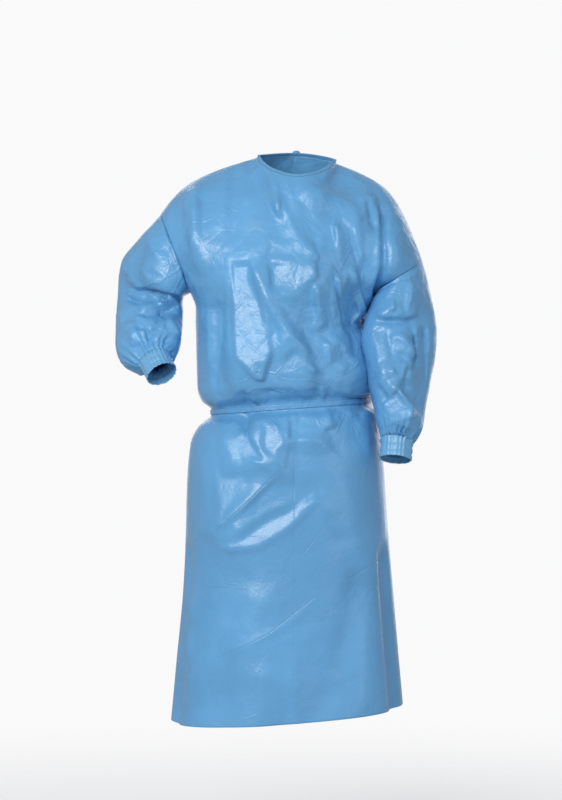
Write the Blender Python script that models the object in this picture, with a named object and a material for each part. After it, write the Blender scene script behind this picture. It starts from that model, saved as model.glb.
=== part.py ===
"""A worn isolation gown in coated nonwoven cloth, held up at its shoulders.

The gown is a kimono cut. One front panel and two lapped back panels reach past the
shoulders to seams on the upper arms, where full sleeves join them and end in elastic
cuffs. A binding with ties closes the neck at the nape, and a narrow belt gathers the waist.
The right sleeve is bent, as for a hand on the hip, and the left sleeve hangs.

Metres. +X is the wearer's left, +Y the back and +Z up. The origin is the middle of the
neck opening, level with the shoulders that carry the gown.
"""
import math
from collections import namedtuple

import bmesh
import bpy
import numpy as np

# Cloth and seams
WALL = 0.0014
SEAM_GAP = 0.0004
SHARP_ANGLE = 60.0
LAP_DEPTH = 0.0038
LAP_EASE_COLUMNS = 3.0
LAP_SETTLE = 0.03

# Grid of each panel: columns on a shoulder and round half the neck, rows above the underarm
RIDGE_COLUMNS = 10
NECK_COLUMNS = 8
YOKE_ROWS = 10
COLUMNS = 2 * RIDGE_COLUMNS + NECK_COLUMNS
BACK_MIDDLE = COLUMNS // 2
SLEEVE_COLUMNS = 2 * YOKE_ROWS
SLEEVE_RINGS = 16
SEAM_HOLD_RINGS = 10

# Neck opening
NECK_MIDDLE_X = 0.012
NECK_HALF_WIDTH = 0.079
NECK_SIDE_Z = {"right": -0.002, "left": -0.013}
NECK_FRONT = {"depth": 0.090, "drop": 0.040}
NECK_BACK = {"depth": 0.066, "drop": -0.016}
BINDING_WIDTH = 0.008
BINDING_THICKNESS = 0.0024

# Waist and hem, at the middle of the body
SIDE_SEAM_Y = 0.012
UNDERARM_Z = -0.272
BELT_Z = -0.4985
BELT_WIDTH = 0.010
BELT_THICKNESS = 0.002
BELT_BAND = 0.0065
BELT_TILT = 0.074
HEM_Z = -1.109
KNOT = {"width": 0.024, "depth": 0.011, "height": 0.016}
NECK_KNOT = {"width": 0.016, "depth": 0.009, "height": 0.011}
BELT_KNOT_GAP = 0.003
NECK_KNOT_GAP = 0.0009
HANGING_LIFT = 0.003
NECK_TIE_WIDTH = 0.008
NECK_TIE_THICKNESS = 0.0016
HANGING_STEPS = 12

# The loose ends of the belt and of the neck ties. Each leaves its knot at shift from the
# knot's middle, and hangs from that many columns beside the middle of the back to a column
# that lies spread further on.
LooseEnd = namedtuple("LooseEnd", "side shift column spread length")
BELT_ENDS = (
    LooseEnd(side="right", shift=-0.0065, column=-0.3, spread=-0.9, length=0.21),
    LooseEnd(side="left", shift=0.0065, column=0.3, spread=0.7, length=0.18),
)
NECK_ENDS = (
    LooseEnd(side="right", shift=-0.0045, column=-0.25, spread=-0.6, length=0.13),
    LooseEnd(side="left", shift=0.0045, column=0.25, spread=0.5, length=0.115),
)
ROWS_BELOW_BELT = range(2, 11)
ROWS_BELOW_NECK = range(1, 10)

# Cuffs
CUFF_LENGTH = 0.040
CUFF_RADIUS = 0.033
CUFF_GATHER = 0.0022
CUFF_NARROWING = 0.93
CUFF_STEPS = (0.2, 0.6, 1.0)

# How far the roundness of an arm reaches along a row, as a share of the row
ARM_REACH = 0.42

# The points that each shoulder line passes, from the sleeve seam to the neck
Place = namedtuple("Place", "x y z")
SHOULDER_LINE = {
    "right": (
        Place(x=-0.262, y=0.056, z=-0.112),
        Place(x=-0.238, y=0.040, z=-0.083),
        Place(x=-0.205, y=0.024, z=-0.054),
        Place(x=-0.145, y=0.012, z=-0.026),
        Place(x=-0.067, y=0.000, z=-0.002),
    ),
    "left": (
        Place(x=0.266, y=0.012, z=-0.212),
        Place(x=0.247, y=0.012, z=-0.160),
        Place(x=0.226, y=0.010, z=-0.112),
        Place(x=0.197, y=0.008, z=-0.068),
        Place(x=0.150, y=0.004, z=-0.037),
        Place(x=0.091, y=0.000, z=-0.013),
    ),
}

# Level sections of the body, from the underarm to the hem. The left side's widest place lies
# further back behind the hanging sleeve, at left_y
Section = namedtuple("Section", "z right left left_y front back square tilt")
BODY = (
    Section(UNDERARM_Z, -0.200, 0.167, 0.012, -0.150, 0.128, 2.2, 0.0),
    Section(-0.300, -0.189, 0.154, 0.022, -0.156, 0.126, 2.2, 0.0),
    Section(-0.330, -0.189, 0.150, 0.040, -0.160, 0.124, 2.3, 0.01),
    Section(-0.352, -0.188, 0.147, 0.046, -0.162, 0.122, 2.3, 0.02),
    Section(-0.395, -0.187, 0.158, 0.052, -0.163, 0.120, 2.4, 0.04),
    Section(-0.450, -0.185, 0.171, 0.050, -0.159, 0.121, 2.4, 0.06),
    Section(-0.476, -0.176, 0.171, 0.046, -0.145, 0.114, 2.3, 0.07),
    Section(BELT_Z + BELT_BAND, -0.158, 0.167, 0.040, -0.124, 0.102, 2.2, BELT_TILT),
    Section(BELT_Z - BELT_BAND, -0.158, 0.167, 0.040, -0.124, 0.102, 2.2, BELT_TILT),
    Section(-0.524, -0.182, 0.176, 0.036, -0.142, 0.114, 2.3, 0.074),
    Section(-0.560, -0.199, 0.182, 0.028, -0.155, 0.130, 2.4, 0.074),
    Section(-0.640, -0.206, 0.188, 0.012, -0.163, 0.148, 2.5, 0.074),
    Section(-0.750, -0.209, 0.196, 0.012, -0.166, 0.158, 2.5, 0.072),
    Section(-0.850, -0.214, 0.204, 0.012, -0.168, 0.163, 2.5, 0.070),
    Section(-1.000, -0.228, 0.216, 0.012, -0.174, 0.170, 2.5, 0.070),
    Section(HEM_Z, -0.238, 0.226, 0.012, -0.180, 0.178, 2.5, 0.070),
)

# The rows just under the sleeves rise to the underarm at each side
UNDERARM_RISE = 0.034
UNDERARM_RISE_COLUMNS = 4.0

# Heights of the body's rows: from each level to the next, and how many rows lie between
Span = namedtuple("Span", "top rows")
ROW_SPANS = (
    Span(top=UNDERARM_Z - UNDERARM_RISE, rows=4),
    Span(top=-0.430, rows=3),
    Span(top=BELT_Z + BELT_BAND, rows=2),
    Span(top=BELT_Z - BELT_BAND, rows=3),
    Span(top=-0.560, rows=15),
)

# How far each back panel passes the middle of the back, by height
Lap = namedtuple("Lap", "z past")
LAPS = (
    Lap(z=HEM_Z, past=0.085),
    Lap(z=BELT_Z, past=0.060),
    Lap(z=-0.080, past=0.012),
    Lap(z=-0.030, past=-0.0006),
    Lap(z=0.020, past=-0.0008),
)

# Rings of each sleeve: its outer and inner side as seen from the front, and its depth in
# front of and behind the line between them
Ring = namedtuple("Ring", "outer inner front back")
SLEEVE = {
    "right": (
        Ring((-0.262, 0.056, -0.112), (-0.200, SIDE_SEAM_Y, UNDERARM_Z), 0.086, 0.084),
        Ring((-0.285, 0.064, -0.138), (-0.213, 0.012, -0.279), 0.083, 0.083),
        Ring((-0.312, 0.072, -0.166), (-0.216, 0.012, -0.292), 0.078, 0.082),
        Ring((-0.342, 0.080, -0.206), (-0.214, 0.010, -0.306), 0.066, 0.078),
        Ring((-0.348, 0.076, -0.248), (-0.214, 0.002, -0.321), 0.052, 0.074),
        Ring((-0.349, 0.060, -0.290), (-0.214, -0.010, -0.336), 0.045, 0.072),
        Ring((-0.350, 0.034, -0.330), (-0.215, -0.026, -0.350), 0.047, 0.069),
        Ring((-0.349, 0.002, -0.368), (-0.216, -0.042, -0.364), 0.051, 0.064),
        Ring((-0.342, -0.030, -0.396), (-0.221, -0.056, -0.377), 0.051, 0.056),
        Ring((-0.323, -0.058, -0.409), (-0.230, -0.068, -0.387), 0.045, 0.046),
    ),
    "left": (
        Ring((0.266, 0.012, -0.212), (0.167, SIDE_SEAM_Y, UNDERARM_Z), 0.096, 0.096),
        Ring((0.272, 0.012, -0.232), (0.176, 0.004, -0.282), 0.094, 0.094),
        Ring((0.278, 0.012, -0.255), (0.170, -0.020, -0.302), 0.089, 0.091),
        Ring((0.287, 0.008, -0.300), (0.157, -0.046, -0.336), 0.080, 0.086),
        Ring((0.293, 0.000, -0.350), (0.151, -0.060, -0.368), 0.072, 0.080),
        Ring((0.289, -0.016, -0.402), (0.158, -0.070, -0.408), 0.068, 0.075),
        Ring((0.278, -0.034, -0.452), (0.164, -0.080, -0.448), 0.066, 0.071),
        Ring((0.268, -0.054, -0.502), (0.167, -0.088, -0.488), 0.064, 0.067),
        Ring((0.261, -0.072, -0.538), (0.169, -0.096, -0.522), 0.058, 0.060),
        Ring((0.252, -0.084, -0.558), (0.175, -0.100, -0.546), 0.047, 0.048),
    ),
}

# Where each sleeve is gathered into its cuff, and the way that the cuff points
Mouth = namedtuple("Mouth", "centre way")
MOUTH = {
    "right": Mouth(centre=(-0.267, -0.076, -0.407), way=(0.40, -0.58, -0.71)),
    "left": Mouth(centre=(0.209, -0.098, -0.564), way=(-0.10, -0.30, -0.95)),
}

# The largest folds. A fold runs from one place to another on one face of one part, and
# stands out of the cloth or, where its height is negative, sinks into it.
Fold = namedtuple("Fold", "part face start end half_width height")
FOLDS = (
    # From the right of the neck across the chest
    Fold("body", "front", (-0.060, -0.060), (-0.010, -0.175), 0.021, -0.008),
    Fold("body", "front", (-0.030, -0.065), (0.030, -0.200), 0.020, 0.008),
    Fold("body", "front", (0.000, -0.075), (0.052, -0.185), 0.021, -0.008),
    # Over the left breast and shoulder
    Fold("body", "front", (0.040, -0.080), (0.128, -0.150), 0.021, 0.010),
    Fold("body", "front", (0.178, -0.120), (0.160, -0.230), 0.026, -0.020),
    Fold("body", "front", (0.207, -0.125), (0.200, -0.225), 0.020, 0.008),
    # Beside the right armhole
    Fold("body", "front", (-0.190, -0.085), (-0.184, -0.215), 0.020, 0.012),
    Fold("body", "front", (-0.222, -0.130), (-0.196, -0.225), 0.024, -0.013),
    # From the chest down to the belt
    Fold("body", "front", (-0.094, -0.230), (-0.100, -0.440), 0.038, 0.013),
    Fold("body", "front", (-0.055, -0.250), (0.030, -0.440), 0.022, 0.010),
    Fold("body", "front", (-0.142, -0.320), (-0.138, -0.450), 0.021, -0.010),
    Fold("body", "front", (0.030, -0.290), (0.048, -0.400), 0.022, -0.012),
    Fold("body", "front", (0.134, -0.275), (0.070, -0.350), 0.020, -0.014),
    Fold("body", "front", (0.060, -0.345), (0.132, -0.430), 0.022, 0.012),
    # Gathers each side of the belt
    Fold("body", "front", (-0.132, -0.476), (-0.136, -0.420), 0.021, -0.005),
    Fold("body", "front", (-0.056, -0.474), (-0.058, -0.420), 0.021, -0.009),
    Fold("body", "front", (0.062, -0.470), (0.070, -0.425), 0.021, -0.009),
    Fold("body", "front", (-0.084, -0.522), (-0.086, -0.585), 0.021, -0.011),
    Fold("body", "front", (-0.050, -0.524), (-0.034, -0.600), 0.021, 0.008),
    Fold("body", "front", (-0.026, -0.522), (0.004, -0.575), 0.021, -0.005),
    Fold("body", "front", (0.062, -0.520), (0.086, -0.575), 0.021, -0.009),
    Fold("body", "front", (0.118, -0.516), (0.124, -0.560), 0.021, -0.006),
    # Across and down the front of the skirt
    Fold("body", "front", (-0.142, -0.738), (-0.030, -0.630), 0.020, 0.010),
    Fold("body", "front", (-0.130, -0.765), (0.050, -0.690), 0.030, 0.011),
    Fold("body", "front", (0.030, -0.700), (0.048, -0.660), 0.030, -0.009),
    Fold("body", "front", (0.130, -0.850), (0.088, -1.050), 0.040, -0.015),
    Fold("body", "front", (-0.060, -0.880), (-0.078, -1.109), 0.045, 0.012),
    # Flare of the skirt's sides
    Fold("body", "left", (-0.062, -0.800), (-0.070, -1.109), 0.028, -0.024),
    Fold("body", "right", (-0.040, -0.800), (-0.052, -1.109), 0.028, -0.020),
    # The back, above and below the belt
    Fold("body", "back", (-0.092, -0.130), (-0.112, -0.420), 0.030, 0.012),
    Fold("body", "back", (0.100, -0.150), (0.112, -0.400), 0.030, 0.012),
    Fold("body", "back", (-0.128, -0.455), (-0.124, -0.350), 0.020, -0.012),
    Fold("body", "back", (0.124, -0.455), (0.118, -0.350), 0.020, -0.012),
    Fold("body", "back", (-0.104, -0.526), (-0.124, -0.820), 0.026, -0.015),
    Fold("body", "back", (0.110, -0.526), (0.130, -0.860), 0.026, -0.015),
    Fold("body", "back", (-0.136, -0.640), (-0.160, -1.109), 0.036, 0.013),
    Fold("body", "back", (0.150, -0.660), (0.168, -1.109), 0.036, 0.013),
    # Right sleeve: the inside of the bent elbow, then the full lower sleeve
    Fold("right", "front", (-0.330, -0.300), (-0.240, -0.340), 0.020, 0.008),
    Fold("right", "front", (-0.290, -0.150), (-0.250, -0.240), 0.020, 0.007),
    Fold("right", "back", (-0.330, -0.210), (-0.250, -0.270), 0.022, -0.009),
    # Left sleeve: across the elbow and down to the cuff
    Fold("left", "front", (0.180, -0.330), (0.270, -0.318), 0.021, -0.009),
    Fold("left", "front", (0.212, -0.365), (0.238, -0.430), 0.020, 0.011),
    Fold("left", "front", (0.196, -0.430), (0.232, -0.525), 0.020, 0.010),
    Fold("left", "front", (0.262, -0.380), (0.250, -0.500), 0.021, -0.007),
    Fold("left", "back", (0.190, -0.340), (0.270, -0.330), 0.020, -0.011),
)
FACE_DIRECTION = {"front": (0, -1, 0), "back": (0, 1, 0), "right": (-1, 0, 0), "left": (1, 0, 0)}
FACE_AXES = {"front": (0, 2), "back": (0, 2), "right": (1, 2), "left": (1, 2)}
BELT_CLEARANCE = 0.022

CLOTH_BLUE = (0.115, 0.355, 0.640, 1.0)
TRIM_BLUE = (0.095, 0.300, 0.580, 1.0)
ELASTIC_BLUE = (0.150, 0.400, 0.680, 1.0)


def clear_scene():
    for obj in list(bpy.data.objects):
        bpy.data.objects.remove(obj, do_unlink=True)


def material(name, color, roughness):
    made = bpy.data.materials.new(name)
    made.use_nodes = True
    surface = made.node_tree.nodes["Principled BSDF"]
    surface.inputs["Base Color"].default_value = color
    surface.inputs["Roughness"].default_value = roughness
    surface.inputs["Metallic"].default_value = 0.0
    return made


def unit(vectors):
    return vectors / np.maximum(np.linalg.norm(vectors, axis=-1, keepdims=True), 1e-12)


def ease(share):
    share = np.clip(share, 0.0, 1.0)
    return share * share * (3.0 - 2.0 * share)


def interpolate(at, knots, values):
    """Values between knots on a cubic that never overshoots them. Knots rise."""
    knots = np.asarray(knots, float)
    values = np.asarray(values, float).reshape(len(knots), -1)
    step = np.diff(knots)[:, None]
    rise = np.diff(values, axis=0) / step
    slope = np.zeros_like(values)
    slope[0], slope[-1] = rise[0], rise[-1]
    same_way = rise[:-1] * rise[1:] > 0
    both = np.where(same_way, rise[:-1] + rise[1:], 1.0)
    slope[1:-1] = np.where(same_way, 2.0 * rise[:-1] * rise[1:] / both, 0.0)
    at = np.clip(np.atleast_1d(np.asarray(at, float)), knots[0], knots[-1])
    span = np.clip(np.searchsorted(knots, at, side="right") - 1, 0, len(knots) - 2)
    width = step[span]
    share = (at[:, None] - knots[span][:, None]) / width
    low, high = values[span], values[span + 1]
    return (
        low * (1 + 2 * share) * (1 - share) ** 2
        + high * share**2 * (3 - 2 * share)
        + width * slope[span] * share * (1 - share) ** 2
        - width * slope[span + 1] * share**2 * (1 - share)
    )


def evenly(points, count):
    """The polyline's points, moved to count + 1 places that are evenly far apart along it."""
    points = np.asarray(points, float)
    along = np.concatenate([[0.0], np.cumsum(np.linalg.norm(np.diff(points, axis=0), axis=1))])
    at = np.linspace(0.0, along[-1], count + 1)
    return np.stack([np.interp(at, along, points[:, axis]) for axis in range(3)], axis=1)


def curve_through(points, count):
    points = np.asarray(points, float)
    along = np.concatenate([[0.0], np.cumsum(np.linalg.norm(np.diff(points, axis=0), axis=1))])
    fine = interpolate(np.linspace(0.0, along[-1], 120), along, points)
    return evenly(fine, count)


def neck_arc(half, count):
    """Half the neck edge, from the wearer's right side to the left."""
    turn = np.linspace(0.0, math.pi, 121)
    side_z = np.interp(turn, [0.0, math.pi], [NECK_SIDE_Z["right"], NECK_SIDE_Z["left"]])
    shape = NECK_FRONT if half == "front" else NECK_BACK
    toward = -1.0 if half == "front" else 1.0
    x = NECK_MIDDLE_X - NECK_HALF_WIDTH * np.cos(turn)
    y = toward * shape["depth"] * np.sin(turn)
    z = side_z - shape["drop"] * np.sin(turn) ** 1.5
    return evenly(np.stack([x, y, z], axis=1), count)


def top_edge(half):
    """The top row of a panel: one shoulder line, half the neck, the other shoulder line."""
    right = curve_through(SHOULDER_LINE["right"], RIDGE_COLUMNS)
    left = curve_through(SHOULDER_LINE["left"], RIDGE_COLUMNS)[::-1]
    return np.concatenate([right[:-1], neck_arc(half, NECK_COLUMNS), left[1:]])


def body_section(z, half):
    """Half of the body's section at one height, from the right side seam to the left one."""
    levels = BODY[::-1]
    row = interpolate(z, [s.z for s in levels], [s[1:] for s in levels])[0]
    right, left, left_y, front, back, square, tilt = row
    middle = (right + left) / 2
    turn = np.linspace(-math.pi / 2, math.pi / 2, 181)
    across = np.sign(turn) * np.abs(np.sin(turn)) ** (2.0 / square)
    forth = np.cos(turn) ** (2.0 / square)
    side_y = SIDE_SEAM_Y + (left_y - SIDE_SEAM_Y) * ease((across + 1) / 2)
    far_y = front if half == "front" else back
    x = middle + (left - right) / 2 * across
    y = side_y + (far_y - side_y) * forth
    return evenly(np.stack([x, y, z + tilt * x], axis=1), COLUMNS)


def body_row(z, half, rise):
    """A row of the body that rises above its height toward each side."""
    from_side = np.minimum(np.arange(COLUMNS + 1), np.arange(COLUMNS + 1)[::-1])
    heights = z + rise * (1 - ease(from_side / UNDERARM_RISE_COLUMNS))
    return np.array([body_section(height, half)[column] for column, height in enumerate(heights)])


def sleeve_stations(side):
    """The sleeve's rings at even steps: centre, half chord, depth direction and the two depths."""
    rings, mouth = SLEEVE[side], MOUTH[side]
    way = unit(np.array(mouth.way))
    last = np.array(rings[-1].outer) - np.array(rings[-1].inner)
    last = unit(last - (last @ way) * way) * CUFF_RADIUS
    outer = np.array([r.outer for r in rings] + [mouth.centre + last])
    inner = np.array([r.inner for r in rings] + [mouth.centre - last])
    depths = np.array([(r.front, r.back) for r in rings] + [(CUFF_RADIUS, CUFF_RADIUS)])
    centre = (outer + inner) / 2
    along = np.concatenate([[0.0], np.cumsum(np.linalg.norm(np.diff(centre, axis=0), axis=1))])
    places = np.interp(np.linspace(0, len(rings), SLEEVE_RINGS), np.arange(len(rings) + 1), along)
    outer = interpolate(places, along, outer)
    inner = interpolate(places, along, inner)
    depths = interpolate(places, along, depths)
    centre, chord = (outer + inner) / 2, (outer - inner) / 2
    ahead = unit(np.gradient(centre, axis=0))
    depth_way = unit(np.cross(ahead, chord * (1, 0, 1)))
    depth_way *= np.where(depth_way[:, 1:2] > 0, -1.0, 1.0)
    seam_way = np.array([0.0, -1.0, 0.0])
    hold = np.clip(1 - np.arange(SLEEVE_RINGS) / SEAM_HOLD_RINGS, 0, 1)[:, None]
    depth_way = unit(hold * seam_way + (1 - hold) * depth_way)
    last_way = np.cross(way, chord[-1])
    depth_way[-1] = unit(last_way) * np.sign(last_way @ depth_way[-2])
    return centre, chord, depth_way, depths


def ring_points(station, side):
    """One ring of a sleeve, from its outer side round the front to its inner side and back."""
    centre, chord, depth_way, depths = (part[station] for part in sleeve_stations(side))
    turn = np.linspace(0.0, 2 * math.pi, SLEEVE_COLUMNS + 1)[:-1, None]
    depth = np.where(np.sin(turn) > 0, depths[0], depths[1])
    return centre + chord * np.cos(turn) + depth_way * depth * np.sin(turn)


def yoke(half):
    """The rows of a panel above the underarm, between the two sleeve seams."""
    top, bottom = top_edge(half), body_row(UNDERARM_Z - UNDERARM_RISE, half, UNDERARM_RISE)
    picks = np.arange(YOKE_ROWS + 1) * (1 if half == "front" else -1)
    edge = {side: ring_points(0, side)[picks] for side in ("right", "left")}
    share = np.linspace(0.0, 1.0, COLUMNS + 1)
    hold = {"right": 1 - ease(share / ARM_REACH)}
    hold["left"] = hold["right"][::-1]
    rows = []
    for row in range(YOKE_ROWS + 1):
        down = row / YOKE_ROWS
        way = np.array([down, math.sin(down * math.pi / 2), down**1.3])
        points = top * (1 - way) + bottom * way
        for side, end in (("right", 0), ("left", -1)):
            straight = top[end] * (1 - way) + bottom[end] * way
            points = points + hold[side][:, None] * (edge[side][row] - straight)
        rows.append(points)
    return np.array(rows)


def row_heights():
    """Heights of the rows below the underarm, and how far each rises toward the sides."""
    bottoms = [span.top for span in ROW_SPANS[1:]] + [HEM_Z]
    parts = [np.linspace(s.top, low, s.rows + 1)[1:] for s, low in zip(ROW_SPANS, bottoms)]
    heights = np.concatenate(parts)
    top, first_end = ROW_SPANS[0].top, bottoms[0]
    rises = UNDERARM_RISE * np.clip((heights - first_end) / (top - first_end), 0, 1)
    return heights, rises


def panel_grid(half):
    lower = np.array([body_row(z, half, rise) for z, rise in zip(*row_heights())])
    return np.concatenate([yoke(half), lower])


def sleeve_grid(side):
    count = SLEEVE_RINGS
    return np.array([ring_points(station, side) for station in range(count)])


def cuff_grid(last_ring, side):
    """The elastic cuff, which goes on from the sleeve's last ring as a gathered tube."""
    centre, way = last_ring.mean(axis=0), unit(np.array(MOUTH[side].way))
    spoke = unit(last_ring - centre)
    wave = np.where(np.arange(SLEEVE_COLUMNS) % 2 == 0, 1.0, -1.0)[:, None]
    rows = [last_ring]
    for step in CUFF_STEPS:
        radius = CUFF_RADIUS * CUFF_NARROWING + CUFF_GATHER / 2 * wave
        rows.append(centre + way * CUFF_LENGTH * step + spoke * radius)
    return np.array(rows)


class Garment:
    """All the cloth's middle points, welded at the seams, and a grid of them for each piece."""

    def __init__(self):
        self.points = []
        self.part = []
        self.known = {}
        self.grids = {}

    def add(self, name, grid, part):
        index = np.empty(grid.shape[:2], int)
        for place in np.ndindex(grid.shape[:2]):
            key = tuple(np.round(grid[place] * 1e5).astype(int))
            if key not in self.known:
                self.known[key] = len(self.points)
                self.points.append(grid[place])
                self.part.append(part)
            index[place] = self.known[key]
        self.grids[name] = index

    def finish(self):
        self.points = np.array(self.points)
        self.part = np.array(self.part)
        self.normals = self.find_normals()

    def find_normals(self):
        total = np.zeros_like(self.points)
        for name, index in self.grids.items():
            if name.startswith(("sleeve", "cuff")):
                index = np.concatenate([index, index[:, :1]], axis=1)
            a, b = index[:-1, :-1], index[:-1, 1:]
            c, d = index[1:, 1:], index[1:, :-1]
            across = self.points[c] - self.points[a]
            face = np.cross(self.points[d] - self.points[b], across)
            face *= OUTWARD[name]
            for corner in (a, b, c, d):
                np.add.at(total, corner, face)
        return unit(total)

    def press_folds(self, folds):
        """Moves the points along their normals, in and out, by the folds that reach them."""
        moved = np.zeros(len(self.points))
        for fold in folds:
            towards = self.normals @ np.array(FACE_DIRECTION[fold.face], float)
            place = self.points[:, FACE_AXES[fold.face]]
            start, end = np.array(fold.start), np.array(fold.end)
            run = end - start
            along = (place - start) @ run / (run @ run)
            nearest = start + np.clip(along, 0, 1)[:, None] * run
            away = np.linalg.norm(place - nearest, axis=1) / fold.half_width
            strength = np.exp(-(away**2)) * ease(towards / 0.45) * (self.part == fold.part)
            moved += fold.height * strength
        level = self.points[:, 2] - self.points[:, 0] * BELT_TILT
        calm = ease((np.abs(level - BELT_Z) - BELT_BAND) / BELT_CLEARANCE)
        moved = np.where(self.part == "body", moved * calm, moved)
        self.points = self.points + self.normals * moved[:, None]
        self.normals = self.find_normals()


OUTWARD = {
    "front": 1.0,
    "back": -1.0,
    "sleeve_right": 1.0,
    "sleeve_left": -1.0,
    "cuff_right": 1.0,
    "cuff_left": -1.0,
}


def make_object(name, points, faces, finish):
    mesh = bpy.data.meshes.new(name)
    mesh.from_pydata([tuple(p) for p in points], [], faces)
    build = bmesh.new()
    build.from_mesh(mesh)
    bmesh.ops.triangulate(build, faces=build.faces[:])
    if build.calc_volume(signed=True) < 0:
        bmesh.ops.reverse_faces(build, faces=build.faces[:])
    build.to_mesh(mesh)
    build.free()
    mesh.shade_smooth()
    mesh.set_sharp_from_angle(angle=math.radians(SHARP_ANGLE))
    mesh.materials.append(finish)
    obj = bpy.data.objects.new(name, mesh)
    bpy.context.scene.collection.objects.link(obj)
    return obj


def drawn_in(edge, normals, next_line, closed):
    """How an edge's points move to stand half a seam gap inside it, along the cloth."""
    if closed:
        ahead = np.roll(edge, -1, axis=0) - np.roll(edge, 1, axis=0)
    else:
        ahead = np.gradient(edge, axis=0)
    inward = unit(np.cross(normals, ahead))
    return inward * np.sign(np.sum(inward * (next_line - edge))) * SEAM_GAP / 2


def trimmed(grid, normals, closed):
    """The grid with its open edges drawn in by half a seam gap."""
    moved = grid.copy()
    for edge, next_line in ((0, 1), (-1, -2)):
        moved[edge] += drawn_in(grid[edge], normals[edge], grid[next_line], closed)
        if not closed:
            sides = drawn_in(grid[:, edge], normals[:, edge], grid[:, next_line], False)
            moved[:, edge] += sides
    return moved


def wall(name, middle, normals, thickness, closed, finish):
    """A cloth wall: an outer and an inner skin each side of the middle points, and rims."""
    middle = trimmed(middle, normals, closed)
    rows, columns = middle.shape[:2]
    skins = np.concatenate(
        [
            (middle + normals * thickness / 2).reshape(-1, 3),
            (middle - normals * thickness / 2).reshape(-1, 3),
        ]
    )
    inside = rows * columns

    def at(row, column):
        return row * columns + column % columns

    faces = []
    last = columns if closed else columns - 1
    for row in range(rows - 1):
        for column in range(last):
            a, b = at(row, column), at(row, column + 1)
            c, d = at(row + 1, column + 1), at(row + 1, column)
            if np.linalg.norm(skins[a] - skins[c]) < np.linalg.norm(skins[b] - skins[d]):
                halves = ((a, b, c), (a, c, d))
            else:
                halves = ((a, b, d), (b, c, d))
            for half in halves:
                faces.append(half)
                faces.append(tuple(inside + corner for corner in reversed(half)))
    for row, flip in ((0, False), (rows - 1, True)):
        for column in range(last):
            a, b = at(row, column), at(row, column + 1)
            rim = (b, a, inside + a, inside + b)
            faces.append(rim[::-1] if flip else rim)
    if not closed:
        for column, flip in ((0, True), (columns - 1, False)):
            for row in range(rows - 1):
                a, b = at(row, column), at(row + 1, column)
                rim = (b, a, inside + a, inside + b)
                faces.append(rim[::-1] if flip else rim)
    return make_object(name, skins, faces, finish)


def strip(name, centres, across, out, width, thickness, finish):
    """A flat strip along a path, with its width across and its thickness out."""
    across, out = unit(across) * width / 2, unit(out) * thickness / 2
    upper, lower = centres + out, centres - out
    corners = [upper + across, upper - across, lower - across, lower + across]
    points = np.stack(corners, axis=1).reshape(-1, 3)
    faces = [(0, 1, 2, 3)]
    for place in range(len(centres) - 1):
        for corner in range(4):
            a, b = 4 * place + corner, 4 * place + (corner + 1) % 4
            faces.append((a, a + 4, b + 4, b))
    end = 4 * (len(centres) - 1)
    faces.append((end + 3, end + 2, end + 1, end))
    return make_object(name, points, faces, finish)


def knot(name, centre, across, out, size, finish):
    """A small pulled-tight knot, rounded on every side."""
    build = bmesh.new()
    bmesh.ops.create_uvsphere(build, u_segments=12, v_segments=8, radius=0.5)
    up = np.cross(across, out)
    points = []
    for vertex in build.verts:
        x, y, z = vertex.co
        point = across * x * size["width"] + out * y * size["depth"] + up * z * size["height"]
        points.append(centre + point)
    faces = [tuple(v.index for v in face.verts) for face in build.faces]
    build.free()
    return make_object(name, points, faces, finish)


def row_at(values, row, columns):
    """Values of a grid's row between its columns."""
    numbers = np.arange(values.shape[1])
    return np.stack([np.interp(columns, numbers, values[row, :, axis]) for axis in range(3)], axis=-1)


def lap_columns(grid, row):
    """How many columns past the middle of the back a back panel reaches in this row."""
    middle = grid[row, BACK_MIDDLE]
    spacing = np.linalg.norm(grid[row, BACK_MIDDLE + 1] - grid[row, BACK_MIDDLE - 1]) / 2
    past = interpolate(middle[2], [lap.z for lap in LAPS], [lap.past for lap in LAPS])[0, 0]
    return past / spacing


def back_panel(garment, side):
    """Middle points and normals of one back panel. The left one passes under the right one."""
    index = garment.grids["back"]
    points, normals = garment.points[index], garment.normals[index]
    middle_rows, normal_rows = [], []
    share = np.linspace(0.0, 1.0, BACK_MIDDLE + 1)
    for row in range(len(index)):
        lap = lap_columns(points, row)
        columns = share * BACK_MIDDLE + lap * ease((share - 0.3) / 0.7)
        if side == "left":
            columns = COLUMNS - columns
        place = row_at(points, row, columns)
        normal = unit(row_at(normals, row, columns))
        if side == "left":
            covered = BACK_MIDDLE + lap + LAP_EASE_COLUMNS - columns
            below_neck = points[0, BACK_MIDDLE, 2] - points[row, BACK_MIDDLE, 2]
            sunk = LAP_DEPTH * ease(covered / LAP_EASE_COLUMNS) * ease(below_neck / LAP_SETTLE)
            place = place - normal * sunk[:, None]
        middle_rows.append(place)
        normal_rows.append(normal)
    return np.array(middle_rows), np.array(normal_rows)


def neck_path(garment):
    """The neck edge from the right back corner round the front to the left back corner."""
    front = garment.grids["front"][0, RIDGE_COLUMNS : RIDGE_COLUMNS + NECK_COLUMNS + 1]
    right, right_normals = back_panel(garment, "right")
    left, left_normals = back_panel(garment, "left")
    corner = RIDGE_COLUMNS
    edge = np.concatenate([right[0, :corner:-1], garment.points[front], left[0, corner + 1 :]])
    front_normals = garment.normals[front]
    normals = np.concatenate([right_normals[0, :corner:-1], front_normals, left_normals[0, corner + 1 :]])
    return edge, normals


def make_binding(garment, finish):
    edge, normals = neck_path(garment)
    up = unit(np.cross(normals, np.gradient(edge, axis=0)))
    up *= np.where(up[:, 2:3] < 0, -1.0, 1.0)
    centres = edge + up * (SEAM_GAP + BINDING_WIDTH / 2)
    strip("neck_binding", centres, up, normals, BINDING_WIDTH, BINDING_THICKNESS, finish)
    return centres, normals


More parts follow.
